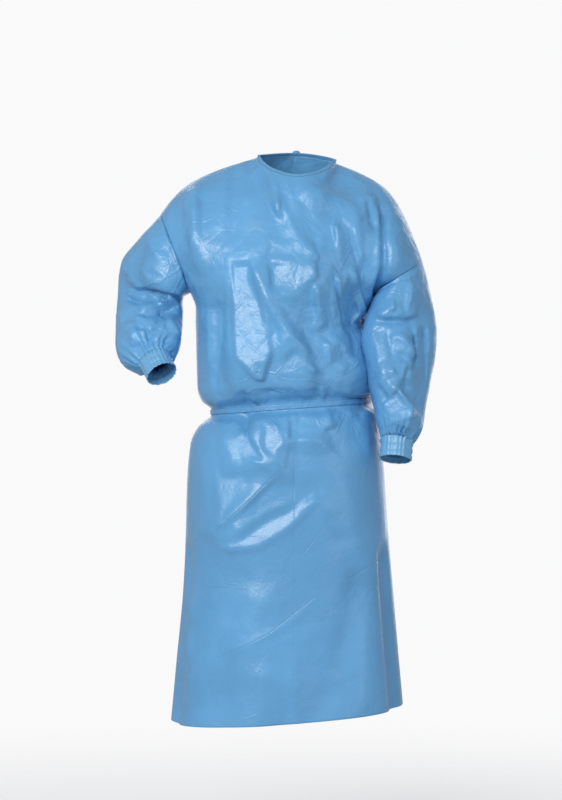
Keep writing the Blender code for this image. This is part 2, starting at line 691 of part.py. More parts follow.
def belt_row():
    """The row of the panels that lies at the belt's middle."""
    yoke_and_above = YOKE_ROWS + ROW_SPANS[0].rows + ROW_SPANS[1].rows
    return yoke_and_above + ROW_SPANS[2].rows // 2


def make_belt(garment, finish):
    row = belt_row()
    back, front = garment.grids["back"], garment.grids["front"]
    lift = WALL / 2 + SEAM_GAP + BELT_THICKNESS / 2
    middle = garment.points[back[row, BACK_MIDDLE]]
    out = unit(garment.normals[back[row, BACK_MIDDLE]] * np.array([1, 1, 0]))
    knot_centre = middle + out * (WALL / 2 + SEAM_GAP + KNOT["depth"] / 2)
    knot("belt_knot", knot_centre, np.array([1.0, 0, 0]), out, KNOT, finish)
    spacing = np.linalg.norm(garment.points[back[row, BACK_MIDDLE + 1]] - middle)
    start = (KNOT["width"] / 2 + SEAM_GAP) / spacing
    sides = np.arange(1, BACK_MIDDLE)
    columns = np.concatenate([[BACK_MIDDLE - start], BACK_MIDDLE - sides, [0.0]])
    back_points, back_normals = garment.points[back], garment.normals[back]
    right = row_at(back_points, row, columns)
    right_out = row_at(back_normals, row, columns)
    left = row_at(back_points, row, COLUMNS - columns)[::-1]
    left_out = row_at(back_normals, row, COLUMNS - columns)[::-1]
    path = np.concatenate([right, garment.points[front[row, 1:-1]], left])
    outward = np.concatenate([right_out, garment.normals[front[row, 1:-1]], left_out])
    outward = unit(outward * np.array([1, 1, 0]))
    ahead = unit(np.gradient(path, axis=0))
    across = np.cross(ahead, outward)
    strip("belt", path + outward * lift, across, outward, BELT_WIDTH, BELT_THICKNESS, finish)
    return knot_centre, row


def hanging_end(name, garment, knot_foot, end, rows, width, thickness, finish):
    """A loose end of a tie that hangs down the back from below its knot."""
    back = garment.grids["back"]
    points, normals = garment.points[back], garment.normals[back]
    columns = BACK_MIDDLE + end.column + end.spread * np.linspace(0.0, 1.0, len(rows))
    line = np.array([row_at(points, row, c) for row, c in zip(rows, columns)])
    out = unit(np.array([row_at(normals, row, c) for row, c in zip(rows, columns)]))
    line = line + out * (WALL / 2 + HANGING_LIFT + thickness)
    line[0] = knot_foot + np.array([end.shift, 0.0, 0.0])
    line = curve_through(line, HANGING_STEPS)
    along = np.concatenate([[0.0], np.cumsum(np.linalg.norm(np.diff(line, axis=0), axis=1))])
    line = line[along <= end.length]
    out = np.tile([0.0, 1.0, 0.0], (len(line), 1))
    across = np.cross(unit(np.gradient(line, axis=0)), out)
    strip(name, line, across, out, width, thickness, finish)


def make_belt_ends(garment, knot_centre, row, finish):
    knot_foot = knot_centre - np.array([0.0, 0.0, KNOT["height"] / 2 + BELT_KNOT_GAP])
    rows = [row + step for step in ROWS_BELOW_BELT]
    for end in BELT_ENDS:
        name = "belt_end_" + end.side
        hanging_end(name, garment, knot_foot, end, rows, BELT_WIDTH, BELT_THICKNESS, finish)


def make_neck_ties(garment, binding, finish):
    centres, normals = binding
    out = unit(normals[0] + normals[-1])
    lift = BINDING_THICKNESS / 2 + SEAM_GAP + NECK_KNOT["depth"] / 2
    centre = (centres[0] + centres[-1]) / 2 + out * lift
    knot("neck_knot", centre, np.array([1.0, 0, 0]), out, NECK_KNOT, finish)
    knot_foot = centre - np.array([0.0, 0.0, NECK_KNOT["height"] / 2 + NECK_KNOT_GAP])
    size = (NECK_TIE_WIDTH, NECK_TIE_THICKNESS)
    for end in NECK_ENDS:
        name = "neck_tie_" + end.side
        hanging_end(name, garment, knot_foot, end, ROWS_BELOW_NECK, *size, finish)


def make_gown():
    cloth = material("coated_cloth", CLOTH_BLUE, 0.35)
    trim = material("trim_cloth", TRIM_BLUE, 0.40)
    elastic = material("elastic_cuff", ELASTIC_BLUE, 0.60)
    garment = Garment()
    garment.add("front", panel_grid("front"), "body")
    garment.add("back", panel_grid("back"), "body")
    for side in ("right", "left"):
        grid = sleeve_grid(side)
        garment.add("sleeve_" + side, grid, side)
        garment.add("cuff_" + side, cuff_grid(grid[-1], side), side)
    garment.finish()
    garment.press_folds(FOLDS)
    front = garment.grids["front"]
    wall("front_panel", garment.points[front], garment.normals[front], WALL, False, cloth)
    for side in ("right", "left"):
        points, normals = back_panel(garment, side)
        wall("back_panel_" + side, points, normals, WALL, False, cloth)
        sleeve = garment.grids["sleeve_" + side]
        wall("sleeve_" + side, garment.points[sleeve], garment.normals[sleeve], WALL, True, cloth)
        cuff = garment.grids["cuff_" + side]
        wall("cuff_" + side, garment.points[cuff], garment.normals[cuff], WALL, True, elastic)
    binding = make_binding(garment, trim)
    make_neck_ties(garment, binding, trim)
    knot_centre, row = make_belt(garment, trim)
    make_belt_ends(garment, knot_centre, row, trim)


clear_scene()
make_gown()
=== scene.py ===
"""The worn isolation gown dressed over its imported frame: fine cloth, seams, ties and studio."""

import functools
import math
from collections import namedtuple

import bmesh
import bpy
import numpy as np
from bpy.props import FloatProperty, FloatVectorProperty, PointerProperty
from bpy.types import Operator, Panel, PropertyGroup
from mathutils import Matrix, Vector, noise


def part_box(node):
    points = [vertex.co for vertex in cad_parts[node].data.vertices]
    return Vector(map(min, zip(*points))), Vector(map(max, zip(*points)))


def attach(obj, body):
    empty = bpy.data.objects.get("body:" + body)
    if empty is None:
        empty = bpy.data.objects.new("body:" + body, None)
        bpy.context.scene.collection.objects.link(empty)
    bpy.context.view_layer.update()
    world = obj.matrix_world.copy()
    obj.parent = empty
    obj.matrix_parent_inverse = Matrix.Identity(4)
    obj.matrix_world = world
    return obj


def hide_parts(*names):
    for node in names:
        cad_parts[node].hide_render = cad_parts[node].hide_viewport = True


bl_info = {
    "name": "Isolation gown",
    "version": (1, 0, 0),
    "blender": (4, 5, 0),
    "location": "3D View > Sidebar > Gown",
    "description": "Builds the cloth, seams, ties and studio of a worn isolation gown",
    "category": "Object",
}

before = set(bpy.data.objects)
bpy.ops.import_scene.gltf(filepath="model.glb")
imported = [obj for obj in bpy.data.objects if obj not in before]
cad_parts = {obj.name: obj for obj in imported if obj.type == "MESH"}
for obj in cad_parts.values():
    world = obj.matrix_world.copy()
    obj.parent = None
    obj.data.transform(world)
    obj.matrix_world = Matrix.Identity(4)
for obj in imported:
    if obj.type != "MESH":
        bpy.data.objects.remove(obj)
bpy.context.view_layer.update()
BODY_NAME = "root"

# Grid of each panel. Detail is how many fine columns stand for one column of the solids
DETAIL = 5
RIDGE_COLUMNS = 10 * DETAIL
NECK_COLUMNS = 8 * DETAIL
YOKE_ROWS = 10 * DETAIL
COLUMNS = 2 * RIDGE_COLUMNS + NECK_COLUMNS
BACK_MIDDLE = COLUMNS // 2
BACK_PANEL_COLUMNS = 78
SLEEVE_COLUMNS = 2 * YOKE_ROWS
SLEEVE_RINGS = 96
SEAM_HOLD_SHARE = 0.667
ROW_STEP = 0.0043
WELD_SCALE = 1e5

# Steps of the curves, before their points are moved evenly apart
CURVE_STEPS = 120
NECK_STEPS = 241
SECTION_STEPS = 361

# Neck opening
NECK_MIDDLE_X = 0.012
NECK_HALF_WIDTH = 0.079
NECK_SIDE_Z = {"right": -0.002, "left": -0.013}
NECK_FRONT = {"depth": 0.090, "drop": 0.040}
NECK_BACK = {"depth": 0.066, "drop": -0.016}
NECK_DROP_POWER = 1.5
BINDING_WIDTH = 0.008
BINDING_THICKNESS = 0.0020

# Waist and hem, at the middle of the body
SIDE_SEAM_Y = 0.012
UNDERARM_Z = -0.272
BELT_Z = -0.4985
BELT_WIDTH = 0.010
BELT_THICKNESS = 0.0019
BELT_BAND = 0.0065
BELT_TILT = 0.074
HEM_Z = -1.109

# Cuffs and the gathers that lead into them
CUFF_LENGTH = 0.040
CUFF_RADIUS = 0.033
CUFF_NARROWING = 0.93
CUFF_ROWS = 20
GATHERS = 17
GATHER_DEPTH = 0.0042

# How far the roundness of an arm reaches along a row, as a share of the row
ARM_REACH = 0.42

# Yoke, underarm and the lap of the back panels
YOKE_DROP_POWER = 1.3
UNDERARM_RISE = 0.034
UNDERARM_RISE_COLUMNS = 4.0 * DETAIL
RISE_END_Z = -0.430
LAP_DEPTH = 0.0030
LAP_EASE_COLUMNS = 3.0 * DETAIL
LAP_SETTLE = 0.012
LAP_START = 0.3

# Clearances
CLOTH_THICKNESS = 0.0007
SEAM_GAP = 0.0003
BELT_CLEARANCE = 0.022
CREASE_CLEARANCE = 0.007

# The camera stands level with the middle of the gown
CAMERA_PLACE = (-0.018, -4.5, -0.486)
CAMERA_LENS = 101.25
FLOOR_Z = -1.42

# The points that each shoulder line passes, from the sleeve seam to the neck
Place = namedtuple("Place", "x y z")
SHOULDER_LINE = {
    "right": (
        Place(x=-0.262, y=0.056, z=-0.112),
        Place(x=-0.238, y=0.040, z=-0.083),
        Place(x=-0.205, y=0.024, z=-0.054),
        Place(x=-0.145, y=0.012, z=-0.026),
        Place(x=-0.067, y=0.000, z=-0.002),
    ),
    "left": (
        Place(x=0.266, y=0.012, z=-0.212),
        Place(x=0.247, y=0.012, z=-0.160),
        Place(x=0.226, y=0.010, z=-0.112),
        Place(x=0.197, y=0.008, z=-0.068),
        Place(x=0.150, y=0.004, z=-0.037),
        Place(x=0.091, y=0.000, z=-0.013),
    ),
}

# Level sections of the body, from the underarm to the hem. The left side's widest place lies
# further back behind the hanging sleeve, at left_y
Section = namedtuple("Section", "z right left left_y front back square tilt")
BODY = (
    Section(UNDERARM_Z, -0.200, 0.167, 0.012, -0.150, 0.128, 2.2, 0.0),
    Section(-0.300, -0.189, 0.154, 0.022, -0.156, 0.126, 2.2, 0.0),
    Section(-0.330, -0.189, 0.150, 0.040, -0.160, 0.124, 2.3, 0.01),
    Section(-0.352, -0.188, 0.147, 0.046, -0.162, 0.122, 2.3, 0.02),
    Section(-0.395, -0.187, 0.158, 0.052, -0.163, 0.120, 2.4, 0.04),
    Section(-0.450, -0.185, 0.171, 0.050, -0.159, 0.121, 2.4, 0.06),
    Section(-0.476, -0.176, 0.171, 0.046, -0.145, 0.114, 2.3, 0.07),
    Section(BELT_Z + BELT_BAND, -0.158, 0.167, 0.040, -0.124, 0.102, 2.2, BELT_TILT),
    Section(BELT_Z - BELT_BAND, -0.158, 0.167, 0.040, -0.124, 0.102, 2.2, BELT_TILT),
    Section(-0.524, -0.182, 0.176, 0.036, -0.142, 0.114, 2.3, 0.074),
    Section(-0.560, -0.199, 0.182, 0.028, -0.155, 0.130, 2.4, 0.074),
    Section(-0.640, -0.206, 0.188, 0.012, -0.163, 0.148, 2.5, 0.074),
    Section(-0.750, -0.209, 0.196, 0.012, -0.166, 0.158, 2.5, 0.072),
    Section(-0.850, -0.214, 0.204, 0.012, -0.168, 0.163, 2.5, 0.070),
    Section(-1.000, -0.228, 0.216, 0.012, -0.174, 0.170, 2.5, 0.070),
    Section(HEM_Z, -0.238, 0.226, 0.012, -0.180, 0.178, 2.5, 0.070),
)

# How far each back panel passes the middle of the back, by height
Lap = namedtuple("Lap", "z past")
LAPS = (
    Lap(z=HEM_Z, past=0.085),
    Lap(z=BELT_Z, past=0.060),
    Lap(z=-0.080, past=0.012),
    Lap(z=-0.030, past=0.004),
    Lap(z=0.020, past=0.003),
)

# Rings of each sleeve: its outer and inner side as seen from the front, and its depth in
# front of and behind the line between them
Ring = namedtuple("Ring", "outer inner front back")
SLEEVE = {
    "right": (
        Ring((-0.262, 0.056, -0.112), (-0.200, SIDE_SEAM_Y, UNDERARM_Z), 0.086, 0.084),
        Ring((-0.285, 0.064, -0.138), (-0.213, 0.012, -0.279), 0.083, 0.083),
        Ring((-0.312, 0.072, -0.166), (-0.216, 0.012, -0.292), 0.078, 0.082),
        Ring((-0.342, 0.080, -0.206), (-0.214, 0.010, -0.306), 0.066, 0.078),
        Ring((-0.348, 0.076, -0.248), (-0.214, 0.002, -0.321), 0.052, 0.074),
        Ring((-0.349, 0.060, -0.290), (-0.214, -0.010, -0.336), 0.045, 0.072),
        Ring((-0.350, 0.034, -0.330), (-0.215, -0.026, -0.350), 0.047, 0.069),
        Ring((-0.349, 0.002, -0.368), (-0.216, -0.042, -0.364), 0.051, 0.064),
        Ring((-0.342, -0.030, -0.396), (-0.221, -0.056, -0.377), 0.051, 0.056),
        Ring((-0.323, -0.058, -0.409), (-0.230, -0.068, -0.387), 0.045, 0.046),
    ),
    "left": (
        Ring((0.266, 0.012, -0.212), (0.167, SIDE_SEAM_Y, UNDERARM_Z), 0.096, 0.096),
        Ring((0.272, 0.012, -0.232), (0.176, 0.004, -0.282), 0.094, 0.094),
        Ring((0.278, 0.012, -0.255), (0.170, -0.020, -0.302), 0.089, 0.091),
        Ring((0.287, 0.008, -0.300), (0.157, -0.046, -0.336), 0.080, 0.086),
        Ring((0.293, 0.000, -0.350), (0.151, -0.060, -0.368), 0.072, 0.080),
        Ring((0.289, -0.016, -0.402), (0.158, -0.070, -0.408), 0.068, 0.075),
        Ring((0.278, -0.034, -0.452), (0.164, -0.080, -0.448), 0.066, 0.071),
        Ring((0.268, -0.054, -0.502), (0.167, -0.088, -0.488), 0.064, 0.067),
        Ring((0.261, -0.072, -0.538), (0.169, -0.096, -0.522), 0.058, 0.060),
        Ring((0.252, -0.084, -0.558), (0.175, -0.100, -0.546), 0.047, 0.048),
    ),
}

# Where each sleeve is gathered into its cuff, and the way that the cuff points
Mouth = namedtuple("Mouth", "centre way")
MOUTH = {
    "right": Mouth(centre=(-0.267, -0.076, -0.407), way=(0.40, -0.58, -0.71)),
    "left": Mouth(centre=(0.209, -0.098, -0.564), way=(-0.10, -0.30, -0.95)),
}

# The largest folds. A fold runs from one place to another on one face of one part, and
# stands out of the cloth or, where its height is negative, sinks into it.
Fold = namedtuple("Fold", "start end half_width height")
FOLDS = {
    ("body", "front"): (
        # From the right of the neck across the chest
        Fold((-0.060, -0.060), (-0.010, -0.175), 0.021, -0.008),
        Fold((-0.030, -0.065), (0.030, -0.200), 0.020, 0.008),
        Fold((0.000, -0.075), (0.052, -0.185), 0.021, -0.008),
        # Over the left chest and shoulder
        Fold((0.040, -0.080), (0.128, -0.150), 0.021, 0.010),
        Fold((0.178, -0.120), (0.160, -0.230), 0.026, -0.020),
        Fold((0.207, -0.125), (0.200, -0.225), 0.020, 0.008),
        # Beside the right armhole
        Fold((-0.190, -0.085), (-0.184, -0.215), 0.020, 0.012),
        Fold((-0.222, -0.130), (-0.196, -0.225), 0.024, -0.013),
        # From the chest down to the belt
        Fold((-0.094, -0.230), (-0.100, -0.440), 0.038, 0.013),
        Fold((-0.055, -0.250), (0.030, -0.440), 0.022, 0.010),
        Fold((-0.142, -0.320), (-0.138, -0.450), 0.021, -0.010),
        Fold((0.030, -0.290), (0.048, -0.400), 0.022, -0.012),
        Fold((0.134, -0.275), (0.070, -0.350), 0.020, -0.014),
        Fold((0.060, -0.345), (0.132, -0.430), 0.022, 0.012),
        # Gathers each side of the belt
        Fold((-0.132, -0.476), (-0.136, -0.420), 0.021, -0.005),
        Fold((-0.056, -0.474), (-0.058, -0.420), 0.021, -0.009),
        Fold((0.062, -0.470), (0.070, -0.425), 0.021, -0.009),
        Fold((-0.084, -0.522), (-0.086, -0.585), 0.021, -0.011),
        Fold((-0.050, -0.524), (-0.034, -0.600), 0.021, 0.008),
        Fold((-0.026, -0.522), (0.004, -0.575), 0.021, -0.005),
        Fold((0.062, -0.520), (0.086, -0.575), 0.021, -0.009),
        Fold((0.118, -0.516), (0.124, -0.560), 0.021, -0.006),
        # Across and down the front of the skirt
        Fold((-0.142, -0.738), (-0.030, -0.630), 0.020, 0.010),
        Fold((-0.130, -0.765), (0.050, -0.690), 0.030, 0.011),
        Fold((0.030, -0.700), (0.048, -0.660), 0.030, -0.009),
        Fold((0.130, -0.850), (0.088, -1.050), 0.040, -0.015),
        Fold((-0.060, -0.880), (-0.078, -1.109), 0.045, 0.012),
    ),
    ("body", "left"): (
        # Flare of the skirt's sides
        Fold((-0.062, -0.800), (-0.070, -1.109), 0.028, -0.024),
        # Where the torso and the left sleeve lean toward each other
        Fold((-0.010, -0.300), (-0.040, -0.470), 0.050, 0.014),
    ),
    ("body", "right"): (
        Fold((-0.040, -0.800), (-0.052, -1.109), 0.028, -0.020),
    ),
    ("body", "back"): (
        # The back, above and below the belt
        Fold((-0.092, -0.130), (-0.112, -0.420), 0.030, 0.012),
        Fold((0.100, -0.150), (0.112, -0.400), 0.030, 0.012),
        Fold((-0.128, -0.455), (-0.124, -0.350), 0.020, -0.012),
        Fold((0.124, -0.455), (0.118, -0.350), 0.020, -0.012),
        Fold((-0.104, -0.526), (-0.124, -0.820), 0.026, -0.015),
        Fold((0.110, -0.526), (0.130, -0.860), 0.026, -0.015),
        Fold((-0.136, -0.640), (-0.160, -1.109), 0.036, 0.013),
        Fold((0.150, -0.660), (0.168, -1.109), 0.036, 0.013),
    ),
    ("left", "right"): (
        Fold((-0.050, -0.300), (-0.080, -0.450), 0.050, 0.016),
    ),
    ("right", "front"): (
        # Right sleeve: the inside of the bent elbow, then the full lower sleeve
        Fold((-0.330, -0.300), (-0.240, -0.340), 0.020, 0.008),
        Fold((-0.290, -0.150), (-0.250, -0.240), 0.020, 0.007),
    ),
    ("right", "back"): (
        Fold((-0.330, -0.210), (-0.250, -0.270), 0.022, -0.009),
    ),
    ("left", "front"): (
        # Left sleeve: across the elbow and down to the cuff
        Fold((0.180, -0.330), (0.270, -0.318), 0.021, -0.009),
        Fold((0.212, -0.365), (0.238, -0.430), 0.020, 0.011),
        Fold((0.196, -0.430), (0.232, -0.525), 0.020, 0.010),
        Fold((0.262, -0.380), (0.250, -0.500), 0.021, -0.007),
    ),
    ("left", "back"): (
        Fold((0.190, -0.340), (0.270, -0.330), 0.020, -0.011),
    ),
}
FACE_DIRECTION = {"front": (0, -1, 0), "back": (0, 1, 0), "right": (-1, 0, 0), "left": (1, 0, 0)}
FACE_AXES = {"front": (0, 2), "back": (0, 2), "right": (1, 2), "left": (1, 2)}

OUTWARD = {"front": 1.0, "back": -1.0, "sleeve_right": 1.0, "sleeve_left": -1.0}

# How much cloth must face the front, the back or a side before a fold, crease or patch reaches it
FOLD_TURN = 0.45
CREASE_TURN = 0.35
PATCH_TURN = 0.2

# Shapes of the creases, as shares of their lengths and widths
PATH_STEPS = 24
END_TAPER = 0.22
END_FLOOR = 0.12
FACET_FALL = 0.45
FACET_FLAT = 0.6
FACET_REACH = 1.5
LEDGE_FALL = 0.28
FOLD_SHARE = 0.65
CREASE_BLUNTNESS = 0.22

# Rows under the neck that are evened out across, so that its corners don't show below
NECK_CORNER_START = 0.25
NECK_CORNER_ROWS = 20
NECK_CORNER_PASSES = 80

# Taut flat patches. Shine says how far a patch turns toward the light, and below 0 away from it
PATCH_LIMIT = 0.013
PATCH_LEAST_POINTS = 6
Patch = namedtuple("Patch", "shine edge corners")
PATCHES = {
    ("body", "front"): (
        Patch(-0.45, 0.010,
            ((-0.076, -0.020), (-0.052, -0.022), (-0.016, -0.100), (-0.014, -0.150), (-0.046, -0.100))),
        Patch(0.45, 0.005,
            ((0.150, -0.078), (0.168, -0.080), (0.172, -0.156), (0.160, -0.150), (0.148, -0.110))),
        Patch(0.40, 0.012, ((-0.046, -0.170), (0.046, -0.182), (0.066, -0.216), (-0.054, -0.216))),
        Patch(0.62, 0.012,
            ((-0.048, -0.214), (0.054, -0.214), (0.058, -0.251), (0.012, -0.290), (-0.042, -0.278))),
        Patch(0.74, 0.007,
            ((-0.117, -0.218), (-0.078, -0.216), (-0.050, -0.313), (-0.032, -0.393), (-0.050, -0.454),
            (-0.072, -0.449), (-0.111, -0.404))),
        Patch(0.45, 0.010,
            ((-0.028, -0.415), (0.007, -0.381), (0.058, -0.427), (0.050, -0.438), (-0.024, -0.440))),
        Patch(-0.55, 0.008, ((0.078, -0.136), (0.124, -0.152), (0.144, -0.236), (0.096, -0.230))),
        Patch(-0.60, 0.006,
            ((0.086, -0.245), (0.116, -0.245), (0.138, -0.313), (0.120, -0.340), (0.098, -0.314))),
        Patch(-0.40, 0.006, ((0.042, -0.262), (0.076, -0.274), (0.092, -0.342), (0.054, -0.336))),
        Patch(0.45, 0.007, ((0.112, -0.352), (0.150, -0.346), (0.140, -0.400), (0.118, -0.404))),
        Patch(-0.40, 0.008, ((0.066, -0.372), (0.104, -0.374), (0.118, -0.416), (0.070, -0.420))),
        Patch(0.60, 0.007, ((-0.123, -0.567), (-0.088, -0.536), (-0.046, -0.606), (-0.092, -0.602))),
        Patch(0.65, 0.006, ((-0.053, -0.513), (-0.014, -0.544), (-0.034, -0.598), (-0.057, -0.583))),
        Patch(0.45, 0.010,
            ((-0.006, -0.513), (0.083, -0.509), (0.087, -0.540), (0.048, -0.558), (-0.006, -0.567))),
        Patch(0.40, 0.020, ((-0.156, -0.622), (-0.073, -0.622), (-0.123, -0.730), (-0.152, -0.722))),
        Patch(0.90, 0.022,
            ((-0.148, -0.772), (-0.046, -0.698), (0.050, -0.662), (0.066, -0.683), (0.017, -0.732),
            (-0.053, -0.780), (-0.118, -0.790))),
    ),
    ("right", "front"): (
        Patch(0.35, 0.006, ((-0.308, -0.218), (-0.276, -0.226), (-0.236, -0.244), (-0.284, -0.254))),
        Patch(0.6, 0.006, ((-0.312, -0.314), (-0.286, -0.320), (-0.272, -0.350), (-0.304, -0.350))),
        Patch(-0.7, 0.005, ((-0.262, -0.282), (-0.226, -0.282), (-0.218, -0.300), (-0.244, -0.312))),
    ),
    ("left", "front"): (
        Patch(0.5, 0.005, ((0.219, -0.254), (0.242, -0.250), (0.235, -0.312), (0.214, -0.312))),
        Patch(-0.5, 0.006, ((0.170, -0.290), (0.204, -0.276), (0.208, -0.312), (0.172, -0.316))),
        Patch(0.6, 0.005, ((0.196, -0.360), (0.222, -0.366), (0.242, -0.403), (0.205, -0.393))),
        Patch(-0.5, 0.006, ((0.160, -0.340), (0.186, -0.344), (0.196, -0.410), (0.166, -0.420))),
        Patch(0.6, 0.005, ((0.194, -0.420), (0.229, -0.406), (0.222, -0.448), (0.207, -0.438))),
        Patch(0.5, 0.006, ((0.176, -0.495), (0.208, -0.462), (0.246, -0.520), (0.197, -0.535))),
        Patch(-0.5, 0.007, ((0.240, -0.340), (0.270, -0.340), (0.272, -0.450), (0.246, -0.470))),
    ),
    ("body", "back"): (
        Patch(0.45, 0.008, ((-0.110, -0.230), (-0.055, -0.200), (-0.045, -0.330), (-0.100, -0.400))),
        Patch(0.45, 0.008, ((0.040, -0.190), (0.115, -0.240), (0.100, -0.370), (0.050, -0.340))),
        Patch(0.40, 0.014, ((0.030, -0.560), (0.100, -0.540), (0.120, -0.650), (0.060, -0.700))),
        Patch(0.40, 0.014, ((-0.110, -0.700), (-0.040, -0.640), (-0.030, -0.720), (-0.090, -0.790))),
    ),
}

# Waves round the waist or a cuff that make its pleats uneven
Ripple = namedtuple("Ripple", "size count start")

# Pleats that run into the belt
WAIST_GATHERS = 34
WAIST_REACH = 0.024
WAIST_DEPTH = 0.0017
WAIST_SHARPNESS = 0.7
WAIST_SHIFTS = (Ripple(0.10, 5, 1.0), Ripple(0.05, 11, 0.4))
WAIST_SIZE = {"mean": 0.55, "least": 0.1, "most": 1.2}
WAIST_SIZES = (Ripple(0.9, 3, 0.7), Ripple(1.0, 7, 2.0))
WAIST_REACH_MEAN = 0.7
WAIST_REACHES = Ripple(0.5, 9, 0.5)

# Gathers at the cuffs
GATHER_START = 0.74
GATHER_SINK = 0.3
GATHER_SHARPNESS = 0.8
GATHER_SHIFTS = (Ripple(0.16, 3, 0.6), Ripple(0.07, 7, 2.0))
GATHER_SIZE_MEAN = 0.75
GATHER_SIZES = Ripple(0.25, 5, 1.2)
CUFF_GATHER = 0.0016
CUFF_BLEND = 0.2
ELASTIC_ROWS = (0.35, 0.7)
ELASTIC_DIP = 0.0012
ELASTIC_REACH = 0.05
ELASTIC_HOLD = 0.4

# Sunk seams of the sleeves, with puckers that repeat every few columns
SEAM_DEPTH = 0.0009
SEAM_WIDTH = 0.0050
SEAM_SEARCH = 0.2
PUCKER_SHARE = 0.25
PUCKER_TURNS = (2.1, 0.37)

# Flat-sided dents between the creases: their size, how much longer they are than wide, and a seed
Dents = namedtuple("Dents", "size stretch seed")
LARGE_DENTS = Dents(0.115, 1.8, 11.3)
SMALL_DENTS = Dents(0.042, 1.5, 4.7)
SMALL_DENT_SHARE = 0.28
DENT_MEAN = 0.6
DENT_BEND = Dents(0.07, 1.0, 5.3)
DENT_BEND_SIZE = (0.020, 0.010, 0.014)
DENT_FADE = Dents(0.13, 1.3, 3.1)
DENT_FADE_SIZE = {"mean": 0.7, "swing": 1.2, "least": 0.1, "most": 1.3}
FACET_SHARE = {"torso": 0.4, "skirt": 0.22, "sleeve": 0.6}

# Trim
NECK_TIE_WIDTH = 0.008
NECK_TIE_THICKNESS = 0.0016
NECK_TIE_TWIST = {"right": 0.5, "left": -0.6}
BELT_END_TWIST = {"right": 0.6, "left": -0.5}
BELT_LIFT = 0.0003
BELT_GROOVE = 0.45
TIE_GROOVE = 0.25
GROOVE_WIDTH = 0.16
STRIP_CORNERS = 20
STRIP_ROUNDNESS = {"across": 0.6, "out": 0.5}
TRIM_STEP = 0.0025
TIE_STEP = 0.003
SECTION_SPACING = 0.004
CORNER_DIGITS = 5
KNOT_MESH = {"u_segments": 64, "v_segments": 40}
KNOT_WRAPS = 2.0
KNOT_GROOVE = 0.14
KNOT_GROOVE_WIDTH = 0.3
KNOT_SPIRAL = 2.4

# Stitches
Thread = namedtuple("Thread", "spacing length radius")
NECK_THREAD = Thread(0.0042, 0.0026, 0.00028)
CUFF_THREAD = Thread(0.0036, 0.0026, 0.0003)
TACK_THREAD = Thread(0.002, 0.0018, 0.0003)
THREAD_SIDES = 8
CUFF_STITCH_LIFT = 0.0006
TRIM_STITCH_LIFT = 0.0001
NECK_STITCH_SHARE = 0.22
TACKS_X = (-0.056, 0.064)
TACK_SHIFTS = (-0.0008, 0.0008)
TACK_HALF_LENGTH = 0.004

# Colours, and the relief of the finish in metres. Its patterns have cells or waves to a metre
CLOTH_BLUE = (0.116, 0.354, 0.655)
TRIM_BLUE = (0.105, 0.330, 0.615)
ELASTIC_BLUE = (0.150, 0.400, 0.680)
THREAD_BLUE = (0.34, 0.56, 0.78)
CRINKLE_HEIGHT = 0.00007
EMBOSS_HEIGHT = 0.00015
FINE_HEIGHT = 0.00016
GRAIN_HEIGHT = 0.00030
PRESSED_DEPTH = 0.0008
DRIFT_WAVES = {"scale": 9.0, "detail": 3.0}
GRAIN_WAVES = {"scale": 170.0, "detail": 2.0}
FINE_WAVES = {"scale": 420.0, "detail": 3.0}
CRINKLE_CELLS = 120.0
CRINKLE_EDGE = 0.16
CRINKLE_BEND = {"waves": 60.0, "size": 0.006}
EMBOSS_CELLS = 480.0
SHADE_BAND = (0.35, 0.65)
SHADE_SWING = 0.05
ROUGHNESS_SWING = {"shade": 0.06, "grain": 0.16}
CLOTH_IOR = 1.5
COAT_ROUGHNESS = 0.3
COAT_IOR = 1.45
THREAD_ROUGHNESS = 0.6

# Small creases: cells to a metre, shift of the pattern, ridge height, and slope of the facets
SmallCrease = namedtuple("SmallCrease", "cells shift ridge slope")
SMALL_CREASES = (
    SmallCrease(13.0, (0.31, 0.11, 0.07), 0.00100, 0.100),
    SmallCrease(29.0, (0.02, 0.43, 0.19), 0.00060, 0.090),
    SmallCrease(67.0, (0.17, 0.05, 0.29), 0.00022, 0.055),
)
SMALL_CREASE_WIDTH = 0.0030
SMALL_CREASE_BEND = {"waves": 0.45, "size": 0.5}
SMALL_CREASE_FADE = 0.6
SMALL_CREASE_BAND = (0.50, 0.62)
SKIRT_CREASES = 0.42
CREASED_ABOVE = (-0.60, -0.50)
PRESSED_WIDTH = 0.0016
PRESSED_FROM_Y = (0.03, 0.08)

# Lines that the packaging pressed into the front
Line = namedtuple("Line", "start end depth")
PRESSED_LINES = (
    Line((0.008, -0.578), (0.006, -1.060), 0.6),
    Line((-0.164, -0.849), (-0.084, -0.852), 0.8),
    Line((-0.142, -0.986), (-0.042, -0.936), 0.8),
    Line((-0.042, -0.936), (0.048, -0.866), 0.7),
    Line((-0.060, -0.994), (-0.046, -0.973), 0.5),
    Line((-0.104, -1.100), (-0.066, -1.088), 0.5),
    Line((0.028, -0.780), (0.064, -0.731), 0.5),
    Line((0.112, -0.834), (0.194, -0.788), 0.7),
    Line((0.132, -0.870), (0.164, -0.838), 0.5),
    Line((0.082, -0.882), (0.096, -0.858), 0.4),
    Line((-0.146, -0.741), (-0.078, -0.678), 1.0),
    Line((-0.078, -0.678), (-0.028, -0.628), 1.0),
)

